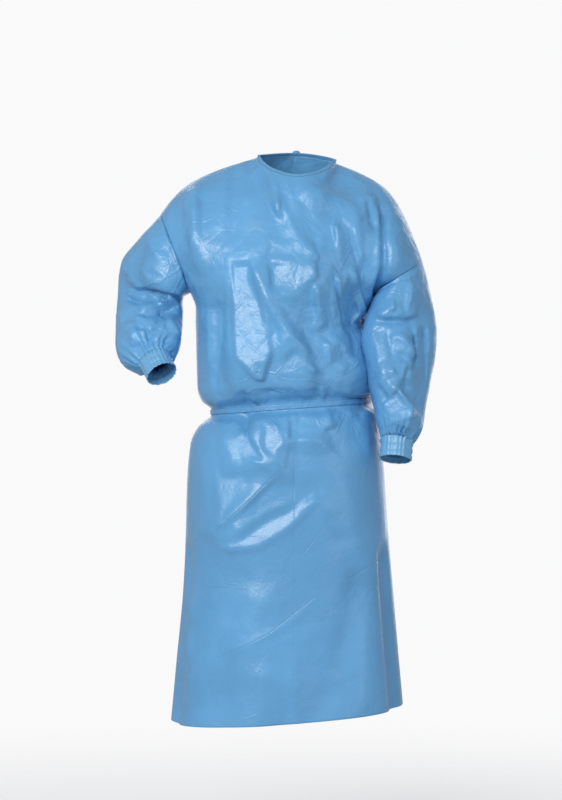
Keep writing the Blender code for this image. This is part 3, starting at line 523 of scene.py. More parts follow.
# Camera and studio
LIGHT_TARGET = (0.0, 0.0, -0.55)
KEY_PLACE = (-1.25, -2.8, 0.74)
KEY_COLOR = (1.0, 0.965, 0.91)
KEY_SIZE = (2.2, 1.0)
FILL_PLACE = (2.2, -2.4, 0.1)
FILL_SIZE = (1.2, 2.0)
BACK_PLACE = (0.5, 3.2, 0.3)
BACK_SIZE = (3.4, 3.0)
FLOOR_RADIUS = 2.6
FLOOR_SIDES = 96
FLOOR_FADE_START = 0.7
FLOOR_COLOR = (0.86, 0.86, 0.87, 1.0)
FLOOR_ROUGHNESS = 0.8
AROUND_COLOR = (0.93, 0.96, 1.0, 1.0)
BACKDROP_COLOR = (0.95, 0.95, 0.955, 1.0)
SENSOR_WIDTH = 36.0

# Flat cut of each sheet, with what is sewn or tied on it
Cut = namedtuple("Cut", "piece width length area held rests_on parts")

# Creases placed one by one. A soft one is rounded, a sharp one pointed, a ledge ramps up to its line
# and drops, and a facet tilts a patch from its start up to its end
Crease = namedtuple("Crease", "kind path width height")
soft = functools.partial(Crease, "soft")
sharp = functools.partial(Crease, "sharp")
ledge = functools.partial(Crease, "ledge")
facet = functools.partial(Crease, "facet")


def mirrored(crease):
    """The same crease on the other half. Its path turns round, so that a ledge still falls down."""
    return crease._replace(path=tuple((-x, z) for x, z in crease.path[::-1]))


# Creases of the back's left half, which its right half has too
BACK_PAIRS = (
    sharp(((0.088, -0.038), (0.132, -0.150), (0.140, -0.286)), 0.01, -0.0045),
    soft(((0.156, -0.086), (0.148, -0.210), (0.120, -0.386)), 0.014, 0.004),
    sharp(((0.144, -0.346), (0.100, -0.418), (0.044, -0.482)), 0.009, 0.0045),
    ledge(((0.128, -0.458), (0.060, -0.462), (0.016, -0.458)), 0.034, 0.004),
    sharp(((0.072, -0.490), (0.080, -0.454)), 0.007, -0.0053),
    sharp(((0.116, -0.486), (0.124, -0.442)), 0.007, -0.0045),
    sharp(((0.048, -0.510), (0.060, -0.626), (0.068, -0.726)), 0.009, -0.0067),
    sharp(((0.080, -0.510), (0.104, -0.646), (0.120, -0.806)), 0.01, 0.0053),
    soft(((0.120, -0.726), (0.140, -0.926), (0.152, -1.136)), 0.03, 0.0064),
    soft(((0.060, -0.766), (0.076, -0.966), (0.084, -1.136)), 0.03, -0.0056),
    sharp(((0.152, -0.886), (0.100, -0.946), (0.040, -0.966)), 0.008, 0.0023),
)
CREASES = {
    ("body", "front"): (
        sharp(((-0.068, -0.018), (-0.036, -0.086), (0.000, -0.166)), 0.01, -0.0045),
        soft(((-0.054, -0.042), (-0.010, -0.136)), 0.01, 0.0032),
        sharp(((-0.034, -0.034), (-0.004, -0.102), (0.028, -0.178)), 0.01, -0.0045),
        soft(((-0.014, -0.050), (0.024, -0.130)), 0.01, 0.0024),
        soft(((-0.106, -0.016), (-0.114, -0.192)), 0.014, -0.004),
        sharp(((-0.080, -0.006), (-0.086, -0.042)), 0.008, -0.003),
        soft(((-0.124, -0.030), (-0.136, -0.166)), 0.012, 0.0024),
        soft(((0.038, -0.072), (0.090, -0.092), (0.128, -0.120), (0.136, -0.148)), 0.011, 0.0064),
        soft(((0.056, -0.110), (0.100, -0.134), (0.112, -0.166)), 0.012, -0.004),
        sharp(((0.166, -0.068), (0.158, -0.130), (0.170, -0.158)), 0.008, -0.0053),
        soft(((0.152, -0.078), (0.144, -0.130)), 0.01, 0.0032),
        ledge(((0.168, -0.076), (0.176, -0.192), (0.174, -0.224), (0.160, -0.272),
            (0.156, -0.330)), 0.030, 0.011),
        sharp(((0.174, -0.076), (0.182, -0.192), (0.180, -0.224), (0.166, -0.272),
            (0.161, -0.330)), 0.006, -0.0110),
        sharp(((0.200, -0.110), (0.190, -0.160), (0.184, -0.200)), 0.007, 0.0050),
        sharp(((0.158, -0.074), (0.164, -0.110), (0.166, -0.150)), 0.006, 0.0050),
        sharp(((0.152, -0.080), (0.156, -0.112), (0.163, -0.152)), 0.005, -0.0045),
        sharp(((0.124, -0.210), (0.144, -0.246), (0.156, -0.286)), 0.01, -0.0045),
        sharp(((0.132, -0.194), (0.164, -0.234)), 0.008, 0.003),
        sharp(((-0.186, -0.054), (-0.188, -0.126), (-0.190, -0.210)), 0.008, 0.0053),
        sharp(((-0.208, -0.078), (-0.204, -0.122)), 0.007, 0.003),
        sharp(((-0.172, -0.062), (-0.172, -0.186)), 0.009, -0.0037),
        sharp(((-0.196, -0.210), (-0.194, -0.306)), 0.008, 0.003),
        facet(((0.012, -0.166), (0.008, -0.286)), 0.062, 0.0125),
        soft(((0.064, -0.162), (0.056, -0.210)), 0.01, 0.0032),
        sharp(((-0.048, -0.186), (-0.056, -0.246), (-0.036, -0.286)), 0.009, -0.0023),
        sharp(((-0.116, -0.218), (-0.118, -0.326), (-0.112, -0.422)), 0.006, -0.003),
        sharp(((-0.088, -0.214), (-0.064, -0.286), (-0.036, -0.374)), 0.008, 0.0037),
        sharp(((-0.076, -0.230), (-0.048, -0.306), (-0.012, -0.390)), 0.009, -0.0045),
        sharp(((-0.076, -0.214), (-0.024, -0.330), (0.056, -0.422)), 0.01, 0.0067),
        soft(((-0.056, -0.226), (0.000, -0.322), (0.064, -0.386)), 0.014, -0.0048),
        sharp(((-0.024, -0.346), (-0.008, -0.410), (-0.012, -0.454)), 0.008, 0.003),
        sharp(((-0.132, -0.230), (-0.138, -0.434)), 0.008, -0.0037),
        sharp(((-0.146, -0.244), (-0.146, -0.496)), 0.008, -0.0045),
        sharp(((-0.158, -0.266), (-0.162, -0.446)), 0.008, 0.0037),
        soft(((-0.174, -0.326), (-0.172, -0.486)), 0.012, -0.0032),
        sharp(((0.036, -0.266), (0.048, -0.348)), 0.009, -0.0053),
        sharp(((0.060, -0.270), (0.070, -0.338)), 0.009, 0.0045),
        ledge(((0.112, -0.226), (0.126, -0.240), (0.143, -0.313), (0.157, -0.336)), 0.024, 0.008),
        ledge(((0.078, -0.262), (0.086, -0.302), (0.097, -0.347)), 0.022, 0.007),
        ledge(((0.048, -0.270), (0.058, -0.296), (0.072, -0.330)), 0.018, 0.005),
        sharp(((0.100, -0.348), (0.128, -0.338), (0.162, -0.320)), 0.011, -0.009),
        ledge(((0.152, -0.298), (0.120, -0.314), (0.096, -0.330)), 0.03, 0.0035),
        sharp(((0.048, -0.346), (0.088, -0.382), (0.132, -0.424)), 0.01, -0.0053),
        soft(((0.076, -0.362), (0.112, -0.398)), 0.012, 0.004),
        sharp(((0.104, -0.418), (0.100, -0.434)), 0.008, 0.0037),
        ledge(((0.172, -0.464), (0.140, -0.474), (0.104, -0.480)), 0.03, 0.0045),
        soft(((0.020, -0.478), (-0.024, -0.478), (-0.052, -0.488)), 0.012, -0.0025),
        ledge(((0.080, -0.458), (0.020, -0.462), (-0.036, -0.458), (-0.088, -0.462)), 0.04, 0.002),
        sharp(((-0.142, -0.510), (-0.140, -0.478)), 0.006, 0.003),
        sharp(((-0.084, -0.494), (-0.094, -0.468)), 0.007, -0.0053),
        sharp(((-0.066, -0.494), (-0.074, -0.462)), 0.007, 0.0037),
        sharp(((-0.044, -0.490), (-0.036, -0.462)), 0.007, -0.0045),
        sharp(((0.056, -0.488), (0.048, -0.462)), 0.007, -0.0053),
        sharp(((0.070, -0.488), (0.080, -0.462)), 0.007, -0.0045),
        soft(((0.062, -0.486), (0.062, -0.458)), 0.008, 0.0048),
        sharp(((-0.078, -0.506), (-0.088, -0.536), (-0.084, -0.578)), 0.008, -0.009),
        sharp(((-0.060, -0.506), (-0.070, -0.588)), 0.007, 0.0045),
        sharp(((-0.054, -0.502), (-0.042, -0.530), (-0.026, -0.558)), 0.006, 0.0037),
        sharp(((-0.052, -0.504), (-0.040, -0.546), (-0.032, -0.592)), 0.006, -0.0045),
        sharp(((-0.048, -0.502), (-0.028, -0.542), (-0.012, -0.586)), 0.006, 0.003),
        sharp(((0.064, -0.498), (0.076, -0.526), (0.088, -0.544)), 0.007, 0.006),
        sharp(((0.060, -0.498), (0.068, -0.534), (0.080, -0.558)), 0.008, -0.0045),
        sharp(((0.134, -0.498), (0.140, -0.526)), 0.007, -0.0045),
        sharp(((0.116, -0.498), (0.118, -0.522)), 0.007, 0.003),
        facet(((-0.100, -0.514), (-0.088, -0.598)), 0.034, 0.0094),
        facet(((-0.036, -0.510), (-0.040, -0.606)), 0.034, 0.0109),
        facet(((0.032, -0.506), (0.028, -0.566)), 0.046, 0.0086),
        sharp(((-0.148, -0.744), (-0.112, -0.710), (-0.078, -0.678), (-0.026, -0.626)), 0.0065, 0.0045),
        sharp(((-0.140, -0.752), (-0.104, -0.718), (-0.070, -0.686), (-0.022, -0.638)), 0.0065, -0.0037),
        facet(((-0.116, -0.626), (-0.128, -0.726)), 0.04, 0.0078),
        soft(((-0.080, -0.806), (-0.116, -0.866), (-0.136, -0.926)), 0.03, -0.0030),
        sharp(((-0.144, -0.986), (-0.042, -0.936), (0.008, -0.910), (0.050, -0.866)), 0.008, 0.0023),
        soft(((0.128, -0.906), (0.106, -0.966), (0.084, -1.030)), 0.024, -0.0026),
        soft(((0.144, -0.886), (0.144, -1.116)), 0.022, 0.0018),
        soft(((0.006, -0.966), (0.012, -1.142)), 0.012, 0.0024),
        soft(((0.044, -0.926), (0.056, -1.126)), 0.026, -0.004),
        soft(((-0.048, -0.986), (-0.056, -1.142)), 0.026, 0.004),
        soft(((-0.128, -0.926), (-0.132, -1.146)), 0.024, -0.004),
        sharp(((-0.206, -0.868), (-0.192, -0.908), (-0.200, -0.930), (-0.198, -0.966),
            (-0.214, -1.014)), 0.008, 0.0053),
        sharp(((-0.216, -1.030), (-0.222, -1.082), (-0.212, -1.122)), 0.008, -0.0045),
        soft(((0.112, -0.626), (0.124, -0.766), (0.160, -0.866)), 0.026, 0.0022),
        soft(((0.080, -0.726), (0.124, -0.806), (0.144, -0.886)), 0.024, -0.0032),
    ),
    ("body", "back"): (
        soft(((0.060, -0.066), (0.092, -0.186), (0.100, -0.346)), 0.014, 0.0048),
        soft(((-0.060, -0.066), (-0.092, -0.186), (-0.100, -0.346)), 0.014, 0.0032),
        sharp(((0.168, -0.286), (0.120, -0.366), (0.068, -0.470)), 0.01, -0.006),
        sharp(((-0.168, -0.286), (-0.120, -0.366), (-0.068, -0.470)), 0.01, -0.0045),
        sharp(((0.108, -0.510), (0.136, -0.626), (0.156, -0.766)), 0.009, -0.0067),
        sharp(((-0.108, -0.510), (-0.136, -0.626), (-0.156, -0.766)), 0.009, -0.0053),
        *BACK_PAIRS,
        *map(mirrored, BACK_PAIRS),
    ),
    ("right", "front"): (
        sharp(((-0.338, -0.214), (-0.316, -0.234), (-0.298, -0.254)), 0.009, 0.0069),
        soft(((-0.296, -0.210), (-0.276, -0.230), (-0.256, -0.254)), 0.012, 0.007),
        sharp(((-0.280, -0.150), (-0.276, -0.178), (-0.256, -0.210)), 0.009, 0.0057),
        soft(((-0.248, -0.174), (-0.228, -0.210), (-0.208, -0.234)), 0.014, -0.005),
        ledge(((-0.204, -0.280), (-0.246, -0.268), (-0.280, -0.258), (-0.312, -0.262)), 0.036, 0.013),
        ledge(((-0.286, -0.286), (-0.308, -0.281), (-0.332, -0.272)), 0.016, 0.007),
        ledge(((-0.222, -0.292), (-0.262, -0.301), (-0.304, -0.312)), 0.024, 0.011),
        sharp(((-0.330, -0.236), (-0.296, -0.262), (-0.262, -0.286)), 0.008, 0.0060),
        sharp(((-0.206, -0.287), (-0.246, -0.275), (-0.280, -0.266), (-0.308, -0.269)), 0.006, -0.0110),
        sharp(((-0.226, -0.300), (-0.262, -0.308), (-0.300, -0.319)), 0.006, -0.0110),
        sharp(((-0.288, -0.291), (-0.308, -0.287), (-0.330, -0.279)), 0.005, -0.0080),
        sharp(((-0.262, -0.300), (-0.246, -0.322), (-0.238, -0.352)), 0.006, -0.0070),
        sharp(((-0.314, -0.372), (-0.300, -0.356), (-0.280, -0.350)), 0.006, 0.0060),
        sharp(((-0.286, -0.370), (-0.270, -0.346), (-0.252, -0.316)), 0.006, -0.0100),
        soft(((-0.312, -0.326), (-0.304, -0.386)), 0.012, 0.006),
        sharp(((-0.340, -0.302), (-0.332, -0.330), (-0.320, -0.358)), 0.008, 0.0069),
        sharp(((-0.248, -0.318), (-0.228, -0.342), (-0.216, -0.366)), 0.008, 0.0057),
        sharp(((-0.328, -0.390), (-0.296, -0.378), (-0.252, -0.366), (-0.220, -0.370)), 0.008, -0.0069),
    ),
    ("right", "back"): (
        soft(((-0.336, -0.186), (-0.280, -0.218), (-0.220, -0.254)), 0.014, 0.006),
        sharp(((-0.340, -0.226), (-0.280, -0.258), (-0.212, -0.282)), 0.01, -0.0092),
        sharp(((-0.344, -0.286), (-0.300, -0.322), (-0.280, -0.374)), 0.01, 0.0069),
        soft(((-0.316, -0.246), (-0.268, -0.310), (-0.248, -0.366)), 0.012, -0.006),
    ),
    ("left", "front"): (
        ledge(((0.256, -0.312), (0.228, -0.321), (0.196, -0.323), (0.162, -0.320)), 0.030, 0.009),
        sharp(((0.164, -0.328), (0.196, -0.331), (0.228, -0.329), (0.252, -0.320)), 0.005, -0.0070),
        sharp(((0.240, -0.352), (0.250, -0.392), (0.243, -0.440)), 0.006, -0.0070),
        sharp(((0.170, -0.452), (0.186, -0.486), (0.196, -0.524)), 0.006, -0.0080),
        soft(((0.244, -0.254), (0.228, -0.298)), 0.012, 0.005),
        sharp(((0.188, -0.286), (0.204, -0.302), (0.220, -0.318)), 0.008, 0.0046),
        sharp(((0.196, -0.378), (0.214, -0.370), (0.232, -0.382), (0.242, -0.410)), 0.009, 0.0103),
        sharp(((0.208, -0.390), (0.220, -0.398), (0.228, -0.418)), 0.009, -0.0069),
        sharp(((0.192, -0.434), (0.212, -0.426), (0.228, -0.414)), 0.008, 0.0069),
        sharp(((0.192, -0.448), (0.220, -0.486), (0.244, -0.522)), 0.009, 0.0092),
        soft(((0.208, -0.446), (0.240, -0.486), (0.260, -0.514)), 0.012, -0.007),
        sharp(((0.226, -0.418), (0.226, -0.442), (0.236, -0.470)), 0.008, -0.0069),
        soft(((0.268, -0.286), (0.276, -0.346), (0.272, -0.406)), 0.014, 0.005),
        soft(((0.252, -0.346), (0.256, -0.426), (0.260, -0.486)), 0.014, -0.005),
        sharp(((0.176, -0.366), (0.180, -0.430), (0.176, -0.490)), 0.009, 0.0057),
        sharp(((0.188, -0.346), (0.192, -0.390)), 0.008, -0.0057),
    ),
    ("left", "back"): (
        sharp(((0.164, -0.322), (0.212, -0.330), (0.268, -0.314)), 0.01, -0.0103),
        soft(((0.188, -0.350), (0.228, -0.390), (0.268, -0.442)), 0.014, 0.007),
        sharp(((0.180, -0.386), (0.204, -0.446), (0.212, -0.506)), 0.01, -0.008),
        soft(((0.252, -0.366), (0.244, -0.446), (0.236, -0.516)), 0.014, 0.006),
    ),
}


def unit(vectors):
    return vectors / np.maximum(np.linalg.norm(vectors, axis=-1, keepdims=True), 1e-12)


def ease(share):
    share = np.clip(share, 0.0, 1.0)
    return share * share * (3.0 - 2.0 * share)


def lengths_along(points):
    return np.concatenate([[0.0], np.cumsum(np.linalg.norm(np.diff(points, axis=0), axis=1))])


def interpolate(at, knots, values):
    """Values between knots on a cubic that never overshoots them. Knots rise."""
    knots = np.asarray(knots, float)
    values = np.asarray(values, float).reshape(len(knots), -1)
    step = np.diff(knots)[:, None]
    rise = np.diff(values, axis=0) / step
    slope = np.zeros_like(values)
    slope[0], slope[-1] = rise[0], rise[-1]
    same_way = rise[:-1] * rise[1:] > 0
    both = np.where(same_way, rise[:-1] + rise[1:], 1.0)
    slope[1:-1] = np.where(same_way, 2.0 * rise[:-1] * rise[1:] / both, 0.0)
    at = np.clip(np.atleast_1d(np.asarray(at, float)), knots[0], knots[-1])
    span = np.clip(np.searchsorted(knots, at, side="right") - 1, 0, len(knots) - 2)
    width = step[span]
    share = (at[:, None] - knots[span][:, None]) / width
    low, high = values[span], values[span + 1]
    return (
        low * (1 + 2 * share) * (1 - share) ** 2
        + high * share**2 * (3 - 2 * share)
        + width * slope[span] * share * (1 - share) ** 2
        - width * slope[span + 1] * share**2 * (1 - share)
    )


def evenly(points, count):
    """The polyline's points, moved to count + 1 places that are evenly far apart along it."""
    points = np.asarray(points, float)
    along = lengths_along(points)
    at = np.linspace(0.0, along[-1], count + 1)
    return np.stack([np.interp(at, along, points[:, axis]) for axis in range(points.shape[1])], axis=1)


def curve_through(points, count):
    points = np.asarray(points, float)
    along = lengths_along(points)
    fine = interpolate(np.linspace(0.0, along[-1], max(CURVE_STEPS, 2 * count)), along, points)
    return evenly(fine, count)


def neck_arc(half, count):
    """Half the neck edge, from the gown's right side to its left."""
    turn = np.linspace(0.0, math.pi, NECK_STEPS)
    side_z = np.interp(turn, [0.0, math.pi], [NECK_SIDE_Z["right"], NECK_SIDE_Z["left"]])
    shape = NECK_FRONT if half == "front" else NECK_BACK
    toward = -1.0 if half == "front" else 1.0
    x = NECK_MIDDLE_X - NECK_HALF_WIDTH * np.cos(turn)
    y = toward * shape["depth"] * np.sin(turn)
    z = side_z - shape["drop"] * np.sin(turn) ** NECK_DROP_POWER
    return evenly(np.stack([x, y, z], axis=1), count)


def top_edge(half):
    """The top row of a panel: one shoulder line, half the neck, the other shoulder line."""
    right = curve_through(SHOULDER_LINE["right"], RIDGE_COLUMNS)
    left = curve_through(SHOULDER_LINE["left"], RIDGE_COLUMNS)[::-1]
    return np.concatenate([right[:-1], neck_arc(half, NECK_COLUMNS), left[1:]])


def body_section(z, half):
    """Half of the body's section at one height, from the right side seam to the left one."""
    levels = BODY[::-1]
    row = interpolate(z, [s.z for s in levels], [s[1:] for s in levels])[0]
    right, left, left_y, front, back, square, tilt = row
    middle = (right + left) / 2
    turn = np.linspace(-math.pi / 2, math.pi / 2, SECTION_STEPS)
    across = np.sign(turn) * np.abs(np.sin(turn)) ** (2.0 / square)
    forth = np.cos(turn) ** (2.0 / square)
    side_y = SIDE_SEAM_Y + (left_y - SIDE_SEAM_Y) * ease((across + 1) / 2)
    far_y = front if half == "front" else back
    x = middle + (left - right) / 2 * across
    y = side_y + (far_y - side_y) * forth
    return evenly(np.stack([x, y, z + tilt * x], axis=1), COLUMNS)


def body_row(z, half, rise):
    """A row of the body that rises above its height toward each side."""
    from_side = np.minimum(np.arange(COLUMNS + 1), np.arange(COLUMNS + 1)[::-1])
    row = body_section(z, half)
    if rise > 0:
        heights = z + rise * (1 - ease(from_side / UNDERARM_RISE_COLUMNS))
        for column in np.flatnonzero(heights > z):
            row[column] = body_section(heights[column], half)[column]
    return row


@functools.lru_cache(maxsize=None)
def sleeve_grid(side):
    """The rings of a sleeve, each from its outer side round the front to its inner side."""
    rings, mouth = SLEEVE[side], MOUTH[side]
    way = unit(np.array(mouth.way))
    last = np.array(rings[-1].outer) - np.array(rings[-1].inner)
    last = unit(last - (last @ way) * way) * CUFF_RADIUS
    outer = np.array([r.outer for r in rings] + [mouth.centre + last])
    inner = np.array([r.inner for r in rings] + [mouth.centre - last])
    depths = np.array([(r.front, r.back) for r in rings] + [(CUFF_RADIUS, CUFF_RADIUS)])
    centre = (outer + inner) / 2
    along = lengths_along(centre)
    places = np.interp(np.linspace(0, len(rings), SLEEVE_RINGS), np.arange(len(rings) + 1), along)
    outer = interpolate(places, along, outer)
    inner = interpolate(places, along, inner)
    depths = interpolate(places, along, depths)
    centre, chord = (outer + inner) / 2, (outer - inner) / 2
    ahead = unit(np.gradient(centre, axis=0))
    depth_way = unit(np.cross(ahead, chord * (1, 0, 1)))
    depth_way *= np.where(depth_way[:, 1:2] > 0, -1.0, 1.0)
    hold = np.clip(1 - np.linspace(0, 1, SLEEVE_RINGS) / SEAM_HOLD_SHARE, 0, 1)[:, None]
    depth_way = unit(hold * np.array([0.0, -1.0, 0.0]) + (1 - hold) * depth_way)
    last_way = np.cross(way, chord[-1])
    depth_way[-1] = unit(last_way) * np.sign(last_way @ depth_way[-2])
    turn = np.linspace(0.0, 2 * math.pi, SLEEVE_COLUMNS + 1)[:-1, None]
    rows = []
    for station in range(SLEEVE_RINGS):
        depth = np.where(np.sin(turn) > 0, depths[station, 0], depths[station, 1])
        rings_out = centre[station] + chord[station] * np.cos(turn)
        rows.append(rings_out + depth_way[station] * depth * np.sin(turn))
    return np.array(rows)


def yoke(half):
    """The rows of a panel above the underarm, between the two sleeve seams."""
    top, bottom = top_edge(half), body_row(UNDERARM_Z - UNDERARM_RISE, half, UNDERARM_RISE)
    picks = np.arange(YOKE_ROWS + 1) * (1 if half == "front" else -1)
    edge = {side: sleeve_grid(side)[0][picks] for side in ("right", "left")}
    share = np.linspace(0.0, 1.0, COLUMNS + 1)
    hold = {"right": 1 - ease(share / ARM_REACH)}
    hold["left"] = hold["right"][::-1]
    rows = []
    for row in range(YOKE_ROWS + 1):
        down = row / YOKE_ROWS
        way = np.array([down, math.sin(down * math.pi / 2), down**YOKE_DROP_POWER])
        points = top * (1 - way) + bottom * way
        for side, end in (("right", 0), ("left", -1)):
            straight = top[end] * (1 - way) + bottom[end] * way
            points = points + hold[side][:, None] * (edge[side][row] - straight)
        rows.append(points)
    return np.array(rows)


def row_heights():
    """Heights of the rows below the underarm, and how far each rises toward the sides."""
    marks = (UNDERARM_Z - UNDERARM_RISE, BELT_Z + BELT_BAND, BELT_Z - BELT_BAND, HEM_Z)
    parts = []
    for high, low in zip(marks, marks[1:]):
        count = max(2, 2 * round((high - low) / ROW_STEP / 2))
        parts.append(np.linspace(high, low, count + 1)[1:])
    heights = np.concatenate(parts)
    rises = UNDERARM_RISE * np.clip((heights - RISE_END_Z) / (marks[0] - RISE_END_Z), 0, 1)
    return heights, rises


def panel_grid(half):
    lower = np.array([body_row(z, half, rise) for z, rise in zip(*row_heights())])
    grid = np.concatenate([yoke(half), lower])
    below_neck = np.arange(len(grid)) / NECK_CORNER_ROWS
    share = ease(below_neck - NECK_CORNER_START)[:, None, None]
    for _ in range(NECK_CORNER_PASSES):
        between = (grid[:, :-2] + grid[:, 2:]) / 2
        grid[:, 1:-1] += 0.5 * share * (between - grid[:, 1:-1])
    return grid


def along_path(places, path):
    """How far places lie from a path, their side of it, and the share of it nearest to them."""
    path = curve_through(path, PATH_STEPS) if len(path) > 2 else np.array(path)
    starts = lengths_along(path)
    away = np.full(len(places), np.inf)
    side, share = np.ones(len(places)), np.zeros(len(places))
    for start, run, before in zip(path, np.diff(path, axis=0), starts):
        on_run = np.clip((places - start) @ run / (run @ run), 0, 1)
        offset = places - start - on_run[:, None] * run
        distance = np.linalg.norm(offset, axis=1)
        nearer = distance < away
        turn = run[0] * offset[:, 1] - run[1] * offset[:, 0]
        side = np.where(nearer, np.sign(turn), side)
        share = np.where(nearer, (before + on_run * np.linalg.norm(run)) / starts[-1], share)
        away = np.where(nearer, distance, away)
    return away, side, share


def crease_profile(crease, places):
    """How much of a crease's height each place takes. A ledge rises to its line on the right of
    its way and falls behind it. A facet rises from its start to its end, with planes beside it."""
    if crease.kind == "facet":
        start, end = np.array(crease.path[0]), np.array(crease.path[-1])
        run = end - start
        down = (places - start) @ run / (run @ run)
        away = np.linalg.norm(places - start - down[:, None] * run, axis=1)
        slope = np.minimum(down, (1 + FACET_FALL - down) / FACET_FALL)
        side = (FACET_REACH - away / crease.width) / (FACET_REACH - FACET_FLAT)
        return np.clip(np.minimum(slope, side), 0, 1)
    away, side, share = along_path(places, crease.path)
    ends = ease(np.minimum(share, 1 - share) / END_TAPER)
    ends = np.maximum(ends, END_FLOOR) if crease.kind == "sharp" else ends
    if crease.kind == "ledge":
        reach = np.where(side < 0, crease.width, LEDGE_FALL * crease.width)
        return np.clip(1 - away / reach, 0, 1) * ends
    if crease.kind == "sharp":
        blunt = CREASE_BLUNTNESS * crease.width
        return np.exp((blunt - np.hypot(away, blunt)) / crease.width) * ends
    return np.exp(-((away / crease.width) ** 2)) * ends


def inside_patch(places, corners):
    """How far places lie inside a patch with convex corners that go round clockwise."""
    depth = np.full(len(places), np.inf)
    for start, end in zip(corners, np.roll(corners, -1, axis=0)):
        run = unit(end - start)
        offset = places - start
        depth = np.minimum(depth, run[1] * offset[:, 0] - run[0] * offset[:, 1])
    return depth


def facets(points, dents):
    """Flat-sided dents that meet in crisp lines, from 0 in their middles up to about 1."""
    heights = np.empty(len(points))
    shift = Vector((dents.seed, 2 * dents.seed, 3 * dents.seed))
    for number, (x, y, z) in enumerate(points):
        place = Vector((x, y, z / dents.stretch)) / dents.size + shift
        heights[number] = noise.voronoi(place, distance_metric="MANHATTAN")[0][0]
    return heights


def waves(points, dents):
    """Soft noise at the same places as dents would have, from about -1 to 1."""
    shift = Vector((dents.seed, -dents.seed, 2 * dents.seed))
    places = [Vector((x, y, z / dents.stretch)) / dents.size + shift for x, y, z in points]
    return np.array([noise.noise(place) for place in places])


def ripple(turn, wave):
    return wave.size * np.sin(wave.count * turn + wave.start)


def pleats(turn, count, shifts, sharpness):
    """Rounded pleats round a ring with a sharp valley beside each, from -1 to 1."""
    uneven = turn + sum(ripple(turn, wave) for wave in shifts)
    return 1 - 2 * np.abs(np.sin(count * uneven / 2)) ** sharpness


